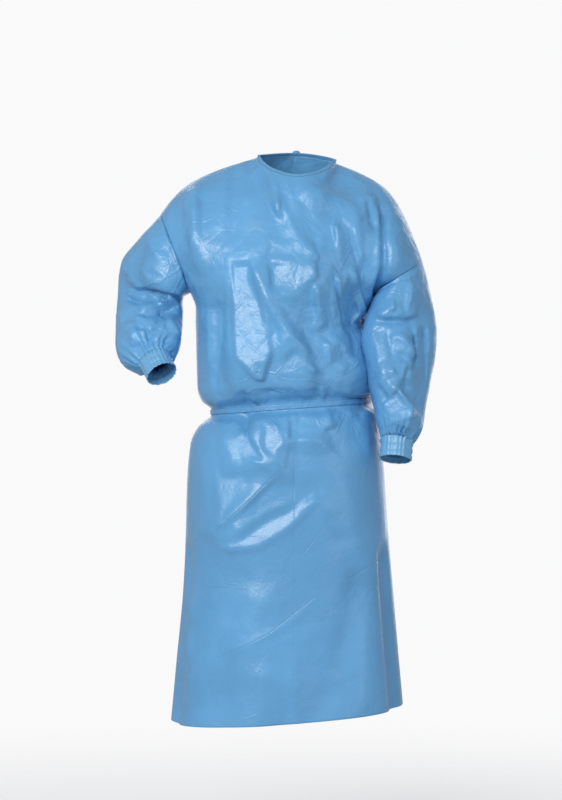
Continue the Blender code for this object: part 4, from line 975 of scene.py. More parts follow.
class Garment:
    """The cloth's middle points, welded at the seams, and a grid of them for each piece."""

    def __init__(self):
        self.points = []
        self.part = []
        self.known = {}
        self.grids = {}

    def add(self, name, grid, part):
        index = np.empty(grid.shape[:2], int)
        for place in np.ndindex(grid.shape[:2]):
            key = tuple(np.round(grid[place] * WELD_SCALE).astype(int))
            if key not in self.known:
                self.known[key] = len(self.points)
                self.points.append(grid[place])
                self.part.append(part)
            index[place] = self.known[key]
        self.grids[name] = index

    def finish(self):
        self.points = np.array(self.points)
        self.part = np.array(self.part)
        self.normals = self.find_normals()

    def find_normals(self):
        total = np.zeros_like(self.points)
        for name, index in self.grids.items():
            if name.startswith("sleeve"):
                index = np.concatenate([index, index[:, :1]], axis=1)
            a, b = index[:-1, :-1], index[:-1, 1:]
            c, d = index[1:, 1:], index[1:, :-1]
            face = np.cross(self.points[d] - self.points[b], self.points[c] - self.points[a])
            face *= OUTWARD[name]
            for corner in (a, b, c, d):
                np.add.at(total, corner, face)
        return unit(total)

    def near_belt(self, clearance):
        level = self.points[:, 2] - self.points[:, 0] * BELT_TILT
        return ease((np.abs(level - BELT_Z) - BELT_BAND) / clearance)

    def move(self, distance):
        self.points = self.points + self.normals * distance[:, None]
        self.normals = self.find_normals()

    def facing(self, part, face, least):
        """The points of a part that face one way, their places as seen so, and how much they do."""
        towards = self.normals @ np.array(FACE_DIRECTION[face], float)
        near = np.flatnonzero((towards > least) & (self.part == part))
        return near, self.points[near][:, FACE_AXES[face]], towards[near]

    def press_folds(self, table):
        """Moves the points along their normals, in and out, by the folds that reach them."""
        moved = np.zeros(len(self.points))
        for (part, face), folds in table.items():
            near, places, towards = self.facing(part, face, 0.0)
            for fold in folds:
                away = along_path(places, (fold.start, fold.end))[0] / fold.half_width
                strength = np.exp(-(away**2)) * ease(towards / FOLD_TURN)
                moved[near] += FOLD_SHARE * fold.height * strength
        calm = self.near_belt(BELT_CLEARANCE)
        self.move(np.where(self.part == "body", moved * calm, moved))

    def press_creases(self, table, strength):
        moved = np.zeros(len(self.points))
        for (part, face), creases in table.items():
            near, places, towards = self.facing(part, face, 0.0)
            for crease in creases:
                share = crease_profile(crease, places) * ease(towards / CREASE_TURN)
                moved[near] += crease.height * share
        calm = self.near_belt(CREASE_CLEARANCE)
        moved = np.where((self.part == "body") & (moved > 0), moved * calm, moved)
        self.move(moved * strength)

    def press_patches(self, table):
        """Presses taut flat patches into the front and the back, in their order."""
        calm = np.where(self.part == "body", self.near_belt(CREASE_CLEARANCE), 1.0)
        for (part, face), patches in table.items():
            facing, places, _ = self.facing(part, face, PATCH_TURN)
            for patch in patches:
                depth = inside_patch(places, np.array(patch.corners))
                near = facing[depth > 0]
                if len(near) < PATCH_LEAST_POINTS:
                    raise ValueError("A patch meets too little cloth")
                gap = self.plane_gap(near, patch.shine, FACE_DIRECTION[face][1])
                moved = np.clip(gap, -PATCH_LIMIT, PATCH_LIMIT)
                self.points[near, 1] += moved * ease(depth[depth > 0] / patch.edge) * calm[near]
        self.normals = self.find_normals()

    def plane_gap(self, near, shine, out):
        """How far points lie behind their mean plane, once it turns toward where it would shine."""
        points = self.points[near]
        middle = points.mean(axis=0)
        table = np.column_stack([points[:, [0, 2]] - middle[[0, 2]], np.ones(len(near))])
        slope = np.linalg.lstsq(table, points[:, 1], rcond=None)[0]
        mirror = np.array([1.0, -out, 1.0])
        toward = unit(np.array(CAMERA_PLACE) * mirror - middle)
        toward = unit(toward + unit(np.array(KEY_PLACE) * mirror - middle))
        wanted = np.array([toward[0], toward[2]]) / -toward[1]
        slope[:2] += shine * (wanted - slope[:2])
        return table @ slope - points[:, 1]

    def gather_waist(self):
        """Small uneven pleats that run into the belt from above and from below."""
        level = np.abs(self.points[:, 2] - self.points[:, 0] * BELT_TILT - BELT_Z) - BELT_BAND
        turn = np.arctan2(self.points[:, 0], -self.points[:, 1])
        pleat = pleats(turn, WAIST_GATHERS, WAIST_SHIFTS, WAIST_SHARPNESS)
        swing = math.prod(ripple(turn, wave) for wave in WAIST_SIZES)
        size = np.clip(WAIST_SIZE["mean"] + swing, WAIST_SIZE["least"], WAIST_SIZE["most"])
        reach = WAIST_REACH * (WAIST_REACH_MEAN + ripple(turn, WAIST_REACHES))
        fade = np.exp(-np.maximum(level, 0) / reach) * ease(level / CREASE_CLEARANCE)
        self.move(WAIST_DEPTH * pleat * size * fade * (self.part == "body"))

    def press_facets(self, depth):
        """Uneven flat-sided dents all over, the most on the sleeves."""
        body = self.part == "body"
        skirt = body & (self.points[:, 2] < BELT_Z)
        share = np.where(skirt, FACET_SHARE["skirt"], FACET_SHARE["torso"])
        share = np.where(body, share, FACET_SHARE["sleeve"])
        places = self.points + waves(self.points, DENT_BEND)[:, None] * np.array(DENT_BEND_SIZE)
        fade = DENT_FADE_SIZE["mean"] + DENT_FADE_SIZE["swing"] * waves(self.points, DENT_FADE)
        fade = np.clip(fade, DENT_FADE_SIZE["least"], DENT_FADE_SIZE["most"])
        large = facets(places, LARGE_DENTS) - DENT_MEAN
        small = facets(places, SMALL_DENTS) - DENT_MEAN
        moved = depth * share * (large + SMALL_DENT_SHARE * fade * small)
        self.move(moved * np.where(body, self.near_belt(BELT_CLEARANCE), 1.0))

    def gather_sleeves(self):
        """Gathers the lower end of each sleeve toward its cuff."""
        moved = np.zeros(len(self.points))
        turn = np.linspace(0, 2 * math.pi, SLEEVE_COLUMNS + 1)[:-1]
        fade = ease((np.linspace(0, 1, SLEEVE_RINGS) - GATHER_START) / (1 - GATHER_START))
        for side in ("right", "left"):
            pleated = fade[:, None] * (cuff_pleats(turn)[None, :] - GATHER_SINK)
            moved[self.grids["sleeve_" + side]] = GATHER_DEPTH * pleated
        self.move(moved)

    def sink_seams(self):
        """Draws the cloth in along the sleeve seams, with small puckers."""
        moved = np.zeros(len(self.points))
        for side in ("right", "left"):
            seam = self.points[self.grids["sleeve_" + side][0]]
            gaps = np.linalg.norm(self.points - seam.mean(axis=0), axis=1)
            near = np.flatnonzero(gaps < SEAM_SEARCH)
            gaps = np.linalg.norm(self.points[near][:, None] - seam[None], axis=2)
            away, place = gaps.min(axis=1), gaps.argmin(axis=1)
            swing = math.prod(np.sin(place * turn) for turn in PUCKER_TURNS)
            pucker = 1 - PUCKER_SHARE + PUCKER_SHARE * swing
            moved[near] -= SEAM_DEPTH * pucker * np.exp(-((away / SEAM_WIDTH) ** 2))
        self.move(moved)


def cuff_pleats(turn):
    """Uneven gathers round a cuff."""
    size = GATHER_SIZE_MEAN + ripple(turn, GATHER_SIZES)
    return size * pleats(turn, GATHERS, GATHER_SHIFTS, GATHER_SHARPNESS)


@functools.lru_cache(maxsize=None)
def garment():
    """The shaped cloth that every piece is cut from."""
    made = Garment()
    made.add("front", panel_grid("front"), "body")
    made.add("back", panel_grid("back"), "body")
    for side in ("right", "left"):
        made.add("sleeve_" + side, sleeve_grid(side), side)
    made.finish()
    cloth = bpy.context.scene.gown_cloth
    made.press_folds(FOLDS)
    made.press_creases(CREASES, cloth.crease_strength)
    made.press_facets(cloth.facet_depth)
    made.press_patches(PATCHES)
    made.gather_waist()
    made.gather_sleeves()
    made.sink_seams()
    return made


def row_at(values, row, columns):
    """Values of a grid's row between its columns."""
    numbers = np.arange(values.shape[1])
    return np.stack([np.interp(columns, numbers, values[row, :, axis]) for axis in range(3)], axis=-1)


def lap_columns(grid, row):
    """How many columns past the middle of the back a back panel reaches in this row."""
    middle = grid[row, BACK_MIDDLE]
    spacing = np.linalg.norm(grid[row, BACK_MIDDLE + 1] - grid[row, BACK_MIDDLE - 1]) / 2
    past = interpolate(middle[2], [lap.z for lap in LAPS], [lap.past for lap in LAPS])[0, 0]
    return past / spacing


def back_panel(side):
    """Middle points and normals of one back panel. The left one passes under the right one."""
    cloth = garment()
    index = cloth.grids["back"]
    points, normals = cloth.points[index], cloth.normals[index]
    middle_rows, normal_rows = [], []
    share = np.linspace(0.0, 1.0, BACK_PANEL_COLUMNS + 1)
    for row in range(len(index)):
        lap = lap_columns(points, row)
        columns = share * BACK_MIDDLE + lap * ease((share - LAP_START) / (1 - LAP_START))
        if side == "left":
            columns = COLUMNS - columns
        place = row_at(points, row, columns)
        normal = unit(row_at(normals, row, columns))
        if side == "left":
            covered = BACK_MIDDLE + lap + LAP_EASE_COLUMNS - columns
            below_neck = points[0, BACK_MIDDLE, 2] - points[row, BACK_MIDDLE, 2]
            sunk = LAP_DEPTH * ease(covered / LAP_EASE_COLUMNS) * ease(below_neck / LAP_SETTLE)
            place = place - normal * sunk[:, None]
        middle_rows.append(place)
        normal_rows.append(normal)
    return np.array(middle_rows), np.array(normal_rows)


def drawn_in(edge, normals, next_line, closed):
    """How an edge's points move to stand half a seam gap inside it, along the cloth."""
    if closed:
        ahead = np.roll(edge, -1, axis=0) - np.roll(edge, 1, axis=0)
    else:
        ahead = np.gradient(edge, axis=0)
    inward = unit(np.cross(normals, ahead))
    return inward * np.sign(np.sum(inward * (next_line - edge))) * SEAM_GAP / 2


def trimmed(grid, normals, closed):
    """The grid with its open edges drawn in by half a seam gap."""
    moved = grid.copy()
    for edge, next_line in ((0, 1), (-1, -2)):
        moved[edge] += drawn_in(grid[edge], normals[edge], grid[next_line], closed)
        if not closed:
            sides = drawn_in(grid[:, edge], normals[:, edge], grid[:, next_line], False)
            moved[:, edge] += sides
    return moved


def link(name, mesh, finish):
    """Adds a finished piece that rides on the gown's one body."""
    mesh.shade_smooth()
    mesh.materials.clear()
    mesh.materials.append(finish)
    piece = bpy.data.objects.new(name, mesh)
    bpy.context.scene.collection.objects.link(piece)
    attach(piece, BODY_NAME)
    return piece


def grid_mesh(name, grid, closed):
    """A mesh of quads on a grid of points, with a flat map of the cloth in metres."""
    rows, columns = grid.shape[:2]
    last = columns if closed else columns - 1
    row, column = np.meshgrid(np.arange(rows - 1), np.arange(last), indexing="ij")
    after = (column + 1) % columns
    corners = [row * columns + column, row * columns + after]
    corners += [(row + 1) * columns + after, (row + 1) * columns + column]
    faces = np.stack(corners, axis=-1).reshape(-1, 4)
    mesh = bpy.data.meshes.new(name)
    mesh.from_pydata(grid.reshape(-1, 3).tolist(), [], faces.tolist())
    middle = grid[:, columns // 2]
    down = lengths_along(middle)
    steps = np.linalg.norm(np.diff(grid, axis=1), axis=2).mean()
    flat = mesh.uv_layers.new(name="cloth")
    across = np.stack([column, column + 1, column + 1, column], axis=-1) * steps
    along = np.stack([down[row], down[row], down[row + 1], down[row + 1]], axis=-1)
    flat.data.foreach_set("uv", np.stack([across, -along], axis=-1).astype(np.float32).ravel())
    return mesh


def face_out(mesh, middle_normals):
    """Turns every face of a sheet to the side that the cloth's normals point to."""
    first = mesh.polygons[len(mesh.polygons) // 2]
    corner = np.array(middle_normals).reshape(-1, 3)[first.vertices[0]]
    if first.normal @ Vector(corner) < 0:
        mesh.flip_normals()


def cloth_piece(name, node, grid, normals, closed, finish, slot):
    """A thin shell of cloth on a grid of middle points."""
    grid = trimmed(grid, normals, closed)
    mesh = grid_mesh(name, grid, closed)
    face_out(mesh, normals)
    piece = link(name, mesh, finish)
    shell = piece.modifiers.new("thickness", "SOLIDIFY")
    shell.thickness = bpy.context.scene.gown_cloth.thickness
    shell.offset = 0.0
    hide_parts(node)


def ribbon(name, centres, across, out, profile, finish):
    """A strip swept along a path. The profile's points are shares across and out, in metres."""
    across, out = unit(across), unit(out)
    profile = np.array(profile)
    rings = centres[:, None] + across[:, None] * profile[None, :, :1] + out[:, None] * profile[None, :, 1:]
    count, sides = rings.shape[:2]
    build = bmesh.new()
    rows = [[build.verts.new(point) for point in ring] for ring in rings]
    for one, two in zip(rows, rows[1:]):
        for side in range(sides):
            after = (side + 1) % sides
            build.faces.new((one[side], one[after], two[after], two[side]))
    build.faces.new(rows[0][::-1])
    build.faces.new(rows[-1])
    bmesh.ops.recalc_face_normals(build, faces=build.faces[:])
    mesh = bpy.data.meshes.new(name)
    build.to_mesh(mesh)
    build.free()
    return link(name, mesh, finish)


def strip_profile(width, thickness, groove):
    """The section of a folded strip: rounded edges and a shallow groove along its middle."""
    turn = np.linspace(0, 2 * math.pi, STRIP_CORNERS + 1)[:-1]
    x = np.sign(np.cos(turn)) * np.abs(np.cos(turn)) ** STRIP_ROUNDNESS["across"] * width / 2
    y = np.sign(np.sin(turn)) * np.abs(np.sin(turn)) ** STRIP_ROUNDNESS["out"] * thickness / 2
    y = y * (1 - groove * np.exp(-((x / (GROOVE_WIDTH * width)) ** 2)))
    return np.stack([x, y], axis=1)


def fine_path(centres, out, step):
    """A path and its outward directions at even fine steps."""
    count = int(np.ceil(lengths_along(centres)[-1] / step))
    along = lengths_along(centres)
    at = np.linspace(0, along[-1], count + 1)
    return interpolate(at, along, centres), unit(interpolate(at, along, out))


def neck_path():
    """The neck edge from the right back corner round the front to the left back corner."""
    cloth = garment()
    front = cloth.grids["front"][0, RIDGE_COLUMNS : RIDGE_COLUMNS + NECK_COLUMNS + 1]
    right, right_normals = back_panel("right")
    left, left_normals = back_panel("left")
    corner = round(RIDGE_COLUMNS * BACK_PANEL_COLUMNS / BACK_MIDDLE)
    edge = np.concatenate([right[0, :corner:-1], cloth.points[front], left[0, corner + 1 :]])
    front_normals = cloth.normals[front]
    normals = np.concatenate([right_normals[0, :corner:-1], front_normals, left_normals[0, corner + 1 :]])
    return edge, normals


def centre_line(node):
    """The middle of a hanging strip's solid at each of its sections, from the top down."""
    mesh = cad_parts[node].data
    corners = np.unique(np.round([tuple(v.co) for v in mesh.vertices], CORNER_DIGITS), axis=0)
    corners = corners[np.argsort(-corners[:, 2])]
    breaks = np.flatnonzero(-np.diff(corners[:, 2]) > SECTION_SPACING) + 1
    return np.array([part.mean(axis=0) for part in np.split(corners, breaks)])


def knot(node, finish):
    """A pulled-tight knot with the grooves of its wraps, as large as its solid."""
    low, high = (np.array(corner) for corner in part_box(node))
    centre, half = (low + high) / 2, (high - low) / 2
    build = bmesh.new()
    bmesh.ops.create_uvsphere(build, radius=1.0, **KNOT_MESH)
    for vertex in build.verts:
        x, y, z = vertex.co
        wrap = math.sin(KNOT_WRAPS * math.atan2(z, x) + KNOT_SPIRAL * y)
        size = 1 - KNOT_GROOVE * math.exp(-((wrap / KNOT_GROOVE_WIDTH) ** 2))
        vertex.co = Vector(centre + half * size * np.array([x, y, z]))
    mesh = bpy.data.meshes.new(node)
    build.to_mesh(mesh)
    build.free()
    piece = link("knot_" + node.split("_")[0], mesh, finish)
    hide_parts(node)


def hanging_strip(name, node, width, thickness, twist, finish):
    """A loose end of a tie, along the middle of its solid, with a slight twist."""
    line = centre_line(node)
    centres, out = fine_path(line, np.tile([0.0, 1.0, 0.0], (len(line), 1)), TIE_STEP)
    ahead = unit(np.gradient(centres, axis=0))
    across = np.cross(ahead, out)
    turn = twist * np.sin(np.linspace(0, math.pi, len(centres)))[:, None]
    across, out = across * np.cos(turn) + out * np.sin(turn), out * np.cos(turn) - across * np.sin(turn)
    profile = strip_profile(width, thickness, TIE_GROOVE)
    piece = ribbon(name, centres, across, out, profile, finish)
    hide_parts(node)


@functools.lru_cache(maxsize=None)
def stitch_tree():
    """Geometry nodes that lay stitches end to end along a line of edges."""
    tree = bpy.data.node_groups.new("stitches", "GeometryNodeTree")
    face = tree.interface
    face.new_socket("Line", in_out="INPUT", socket_type="NodeSocketGeometry")
    for name, value in zip(("Spacing", "Length", "Radius"), NECK_THREAD):
        made = face.new_socket(name, in_out="INPUT", socket_type="NodeSocketFloat")
        made.default_value = value
        made.subtype = "DISTANCE"
    face.new_socket("Thread", in_out="INPUT", socket_type="NodeSocketMaterial")
    face.new_socket("Stitches", in_out="OUTPUT", socket_type="NodeSocketGeometry")

    def add(kind, settings=None, inputs=None):
        node = tree.nodes.new(kind)
        for key, value in (settings or {}).items():
            setattr(node, key, value)
        for key, source in (inputs or {}).items():
            tree.links.new(source, node.inputs[key])
        return node

    given = add("NodeGroupInput").outputs
    curve = add("GeometryNodeMeshToCurve", inputs={"Mesh": given["Line"]})
    places = add(
        "GeometryNodeResampleCurve",
        {"mode": "LENGTH"},
        {"Curve": curve.outputs["Curve"], "Length": given["Spacing"]},
    )
    thread = add(
        "GeometryNodeMeshCylinder",
        inputs={"Radius": given["Radius"], "Depth": given["Length"]},
    )
    thread.inputs["Vertices"].default_value = THREAD_SIDES
    way = add("GeometryNodeInputTangent")
    turned = add("FunctionNodeAlignEulerToVector", {"axis": "Z"}, {"Vector": way.outputs["Tangent"]})
    laid = add(
        "GeometryNodeInstanceOnPoints",
        inputs={
            "Points": places.outputs["Curve"],
            "Instance": thread.outputs["Mesh"],
            "Rotation": turned.outputs["Rotation"],
        },
    )
    real = add("GeometryNodeRealizeInstances", inputs={"Geometry": laid.outputs["Instances"]})
    painted = add(
        "GeometryNodeSetMaterial",
        inputs={"Geometry": real.outputs["Geometry"], "Material": given["Thread"]},
    )
    add("NodeGroupOutput", inputs={"Stitches": painted.outputs["Geometry"]})
    return tree


def stitches(name, lines, closed, thread):
    """A row or several of stitches, made a plain mesh."""
    points, edges = [], []
    for line in lines:
        first = len(points)
        points += [tuple(point) for point in line]
        edges += [(first + k, first + k + 1) for k in range(len(line) - 1)]
        if closed:
            edges.append((len(points) - 1, first))
    guide_mesh = bpy.data.meshes.new(name + "_line")
    guide_mesh.from_pydata(points, edges, [])
    guide = bpy.data.objects.new(name + "_line", guide_mesh)
    bpy.context.scene.collection.objects.link(guide)
    tree = stitch_tree()
    finish = thread_finish()
    made = guide.modifiers.new("stitches", "NODES")
    made.node_group = tree
    sockets = {s.name: s.identifier for s in tree.interface.items_tree if s.in_out == "INPUT"}
    values = {"Spacing": thread.spacing, "Length": thread.length, "Radius": thread.radius}
    values["Thread"] = finish
    for key, value in values.items():
        made[sockets[key]] = value
    bpy.context.view_layer.update()
    ready = guide.evaluated_get(bpy.context.evaluated_depsgraph_get())
    mesh = bpy.data.meshes.new_from_object(ready)
    bpy.data.objects.remove(guide, do_unlink=True)
    bpy.data.meshes.remove(guide_mesh)
    if not mesh.polygons:
        raise RuntimeError(name + " has no stitches")
    mesh.name = name
    link(name, mesh, finish)


class Wire:
    """A shader socket. Arithmetic on it adds Math nodes, and node() adds any other node."""

    def __init__(self, tree, socket=None):
        self.tree = tree
        self.socket = socket

    def feed(self, target, value):
        if isinstance(value, Wire):
            self.tree.links.new(value.socket, target)
        else:
            target.default_value = value

    def node(self, kind, settings=None, inputs=None, output=0):
        made = self.tree.nodes.new(kind)
        for name, value in (settings or {}).items():
            setattr(made, name, value)
        for name, value in (inputs or {}).items():
            self.feed(made.inputs[name], value)
        return Wire(self.tree, made.outputs[output])

    def math(self, operation, *values, clamp=False):
        settings = {"operation": operation, "use_clamp": clamp}
        return self.node("ShaderNodeMath", settings, dict(enumerate(values)))

    def mix(self, share, first, second):
        """A colour between two colours."""
        made = self.tree.nodes.new("ShaderNodeMix")
        made.data_type = "RGBA"
        for number, value in ((0, share), (6, first), (7, second)):
            self.feed(made.inputs[number], value)
        return Wire(self.tree, made.outputs[2])

    def band(self, low, high):
        """0 up to low and 1 from high on, with a smooth step between."""
        settings = {"interpolation_type": "SMOOTHSTEP"}
        inputs = {"Value": self, "From Min": low, "From Max": high}
        return self.node("ShaderNodeMapRange", settings, inputs)

    def __add__(self, other):
        return self.math("ADD", self, other)

    def __radd__(self, other):
        return self.math("ADD", other, self)

    def __sub__(self, other):
        return self.math("SUBTRACT", self, other)

    def __rsub__(self, other):
        return self.math("SUBTRACT", other, self)

    def __mul__(self, other):
        return self.math("MULTIPLY", self, other)

    def __rmul__(self, other):
        return self.math("MULTIPLY", other, self)

    def __truediv__(self, other):
        return self.math("DIVIDE", self, other)

    def __rtruediv__(self, other):
        return self.math("DIVIDE", other, self)


TO_EDGE = {"feature": "DISTANCE_TO_EDGE"}


def blank_material(name):
    made = bpy.data.materials.new(name)
    made.use_nodes = True
    made.node_tree.nodes.clear()
    return made, Wire(made.node_tree)


def pattern(wire, kind, place, scale, detail=None, output=0, settings=None):
    inputs = {"Vector": place, "Scale": scale}
    if detail is not None:
        inputs["Detail"] = detail
    return wire.node(kind, settings, inputs, output)


def pressed_lines(wire, place):
    """How deep the folds pressed in by the packaging are, as lines on the front."""
    split = place.node("ShaderNodeSeparateXYZ", inputs={"Vector": place}).socket.node
    x, y, z = (Wire(wire.tree, split.outputs[name]) for name in "XYZ")
    total = None
    for line in PRESSED_LINES:
        (x0, z0), (x1, z1) = line.start, line.end
        run_x, run_z = x1 - x0, z1 - z0
        along = ((x - x0) * run_x + (z - z0) * run_z) / (run_x * run_x + run_z * run_z)
        along = wire.math("ADD", along, 0.0, clamp=True)
        off_x, off_z = x - x0 - along * run_x, z - z0 - along * run_z
        away = wire.math("SQRT", off_x * off_x + off_z * off_z)
        depth = line.depth * (1.0 - away.band(0.0, PRESSED_WIDTH))
        total = depth if total is None else total + depth
    return total * (0.0 - y).band(*PRESSED_FROM_Y)


def cloth_finish(name, base, pressed):
    """Glossy coated nonwoven cloth: grain, crinkles, sharp small creases and an uneven shine."""
    look = bpy.context.scene.gown_cloth
    made, wire = blank_material(name)
    place = wire.node("ShaderNodeTexCoord", output="Object")
    drift = pattern(wire, "ShaderNodeTexNoise", place, **DRIFT_WAVES)
    fine = pattern(wire, "ShaderNodeTexNoise", place, **FINE_WAVES)
    grain = pattern(wire, "ShaderNodeTexNoise", place, **GRAIN_WAVES)
    bent = added(place, bent_by(wire, place, CRINKLE_BEND["waves"], CRINKLE_BEND["size"]))
    cells = pattern(wire, "ShaderNodeTexVoronoi", bent, CRINKLE_CELLS, settings=TO_EDGE)
    emboss = pattern(wire, "ShaderNodeTexVoronoi", place, EMBOSS_CELLS, settings={"feature": "F1"})
    height = cells.band(0.0, CRINKLE_EDGE) * CRINKLE_HEIGHT + emboss * EMBOSS_HEIGHT
    height = height + fine * FINE_HEIGHT + grain * GRAIN_HEIGHT
    height = height + small_creases(wire, place) * busy(wire, place)
    if pressed:
        height = height - pressed_lines(wire, place) * PRESSED_DEPTH
    bump = wire.node(
        "ShaderNodeBump",
        inputs={"Height": height, "Strength": look.relief, "Distance": 1.0},
    )
    lighter = tuple(min(1.0, (1 + SHADE_SWING) * part) for part in base)
    darker = tuple((1 - SHADE_SWING) * part for part in base)
    shade = drift.band(*SHADE_BAND)
    color = wire.mix(shade, (*darker, 1.0), (*lighter, 1.0))
    rough = look.roughness + ROUGHNESS_SWING["shade"] * (shade - 0.5)
    rough = rough + ROUGHNESS_SWING["grain"] * (grain - 0.5)
    surface = wire.node(
        "ShaderNodeBsdfPrincipled",
        inputs={
            "Base Color": color,
            "Roughness": rough,
            "Metallic": 0.0,
            "IOR": CLOTH_IOR,
            "Coat Weight": look.coat,
            "Coat Roughness": COAT_ROUGHNESS,
            "Coat IOR": COAT_IOR,
            "Normal": bump,
        },
    )
    finish_material(made, surface)
    return made


def small_creases(wire, place):
    """Short sharp creases and flat facets of each size, in metres. They fade in and out."""
    total = None
    for cells, shift, ridge, slope in SMALL_CREASES:
        bend, size = SMALL_CREASE_BEND["waves"] * cells, SMALL_CREASE_BEND["size"] / cells
        moved = added(added(place, bent_by(wire, place, bend, size)), shift)
        edge = pattern(wire, "ShaderNodeTexVoronoi", moved, cells, settings=TO_EDGE)
        near = pattern(wire, "ShaderNodeTexNoise", moved, SMALL_CREASE_FADE * cells, 1.0)
        line = 1.0 - edge.band(0.0, SMALL_CREASE_WIDTH * cells)
        line = line * near.band(*SMALL_CREASE_BAND)
        made = line * ridge + edge * (slope / cells)
        total = made if total is None else total + made
    return total


def busy(wire, place):
    """How creased the cloth is at a height: most above the belt, little on the skirt."""
    split = wire.node("ShaderNodeSeparateXYZ", inputs={"Vector": place}).socket.node
    return SKIRT_CREASES + (1.0 - SKIRT_CREASES) * Wire(wire.tree, split.outputs["Z"]).band(*CREASED_ABOVE)


def added(first, second):
    """The sum of two vectors."""
    return first.node("ShaderNodeVectorMath", {"operation": "ADD"}, {0: first, 1: second})


def bent_by(wire, place, scale, size):
    """A vector that moves a pattern about a little, so that its lines aren't straight."""
    spread = pattern(wire, "ShaderNodeTexNoise", place, scale, 2.0, "Color")
    middle = wire.node("ShaderNodeVectorMath", {"operation": "SUBTRACT"}, {0: spread, 1: (0.5,) * 3})
    return wire.node("ShaderNodeVectorMath", {"operation": "SCALE"}, {0: middle, "Scale": size})


def finish_material(made, surface):
    output = made.node_tree.nodes.new("ShaderNodeOutputMaterial")
    made.node_tree.links.new(surface.socket, output.inputs["Surface"])


@functools.lru_cache(maxsize=None)
def finish(kind):
    """The finish of each kind of piece, made once. Only the front has pressed lines."""
    look = bpy.context.scene.gown_cloth
    if kind == "front":
        return cloth_finish("coated_front", look.cloth_color, True)
    if kind == "cloth":
        return cloth_finish("coated_cloth", look.cloth_color, False)
    if kind == "trim":
        return cloth_finish("trim_cloth", look.trim_color, False)
    return cloth_finish("elastic_cuff", look.elastic_color, False)


@functools.lru_cache(maxsize=None)
def thread_finish():
    made, wire = blank_material("thread")
    color = (*bpy.context.scene.gown_cloth.thread_color, 1.0)
    surface = wire.node(
        "ShaderNodeBsdfPrincipled",
        inputs={"Base Color": color, "Roughness": THREAD_ROUGHNESS, "Metallic": 0.0},
    )
    finish_material(made, surface)
    return made


def build_panels():
    cloth = garment()
    front = cloth.grids["front"]
    points, normals = cloth.points[front], cloth.normals[front]
    cloth_piece("front_cloth", "front_panel", points, normals, False, finish("front"), "coated_cloth")
    for side in ("right", "left"):
        points, normals = back_panel(side)
        names = ("back_cloth_" + side, "back_panel_" + side)
        cloth_piece(*names, points, normals, False, finish("cloth"), "coated_cloth")


def build_sleeves():
    cloth = garment()
    for side in ("right", "left"):
        index = cloth.grids["sleeve_" + side]
        points, normals = cloth.points[index], cloth.normals[index]
        names = ("sleeve_cloth_" + side, "sleeve_" + side)
        cloth_piece(*names, points, normals, True, finish("cloth"), "coated_cloth")


def tube_normals(grid):
    """Normals of a round tube's grid, out from its middle."""
    around = np.roll(grid, -1, axis=1) - np.roll(grid, 1, axis=1)
    normals = unit(np.cross(np.gradient(grid, axis=0), around))
    return normals * np.sign(np.sum(normals * (grid - grid.mean(axis=(0, 1)))))


def cuff_grid(side):
    """The cuff, gathered over its elastic, which goes on from the last ring of the sleeve."""
    cloth = garment()
    ring = cloth.points[cloth.grids["sleeve_" + side][-1]]
    centre, way = np.array(MOUTH[side].centre), unit(np.array(MOUTH[side].way))
    lag = (ring - centre) @ way
    spoke = ring - centre - lag[:, None] * way
    first = np.linalg.norm(spoke, axis=1)
    spoke = unit(spoke)
    turn = np.linspace(0, 2 * math.pi, SLEEVE_COLUMNS + 1)[:-1]
    rows = []
    for share in np.linspace(0.0, 1.0, CUFF_ROWS + 1):
        dip = sum(math.exp(-(((share - at) / ELASTIC_REACH) ** 2)) for at in ELASTIC_ROWS)
        radius = CUFF_RADIUS * CUFF_NARROWING - ELASTIC_DIP * dip
        radius = radius + CUFF_GATHER * (1 - ELASTIC_HOLD * dip) * cuff_pleats(turn)
        blend = ease(share / CUFF_BLEND)
        radius = first * (1 - blend) + radius * blend
        reach = CUFF_LENGTH * share + lag * (1 - blend)
        rows.append(centre + way * reach[:, None] + spoke * radius[:, None])
    return np.array(rows)


def build_cuffs():
    for side in ("right", "left"):
        grid = cuff_grid(side)
        normals = tube_normals(grid)
        names = ("cuff_cloth_" + side, "cuff_" + side)
        cloth_piece(*names, grid, normals, True, finish("elastic"), "elastic_cuff")
        rows = [round(at * CUFF_ROWS) for at in ELASTIC_ROWS]
        lines = [grid[row] + normals[row] * CUFF_STITCH_LIFT for row in rows]
        stitches("cuff_stitches_" + side, lines, True, CUFF_THREAD)


def build_neck():
    edge, normals = neck_path()
    edge, normals = fine_path(edge, normals, TRIM_STEP)
    up = unit(np.cross(normals, np.gradient(edge, axis=0)))
    up *= np.where(up[:, 2:3] < 0, -1.0, 1.0)
    centres = edge + up * (SEAM_GAP + BINDING_WIDTH / 2)
    profile = strip_profile(BINDING_WIDTH, BINDING_THICKNESS, 0.0)
    binding = ribbon("neck_edge", centres, up, normals, profile, finish("trim"))
    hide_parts("neck_binding")
    row = centres - up * BINDING_WIDTH * NECK_STITCH_SHARE
    row = row + normals * (BINDING_THICKNESS / 2 + TRIM_STITCH_LIFT)
    stitches("neck_stitches", [row], False, NECK_THREAD)
    knot("neck_knot", finish("trim"))
    for side, twist in NECK_TIE_TWIST.items():
        size = (NECK_TIE_WIDTH, NECK_TIE_THICKNESS, twist)
        hanging_strip("neck_string_" + side, "neck_tie_" + side, *size, finish("trim"))


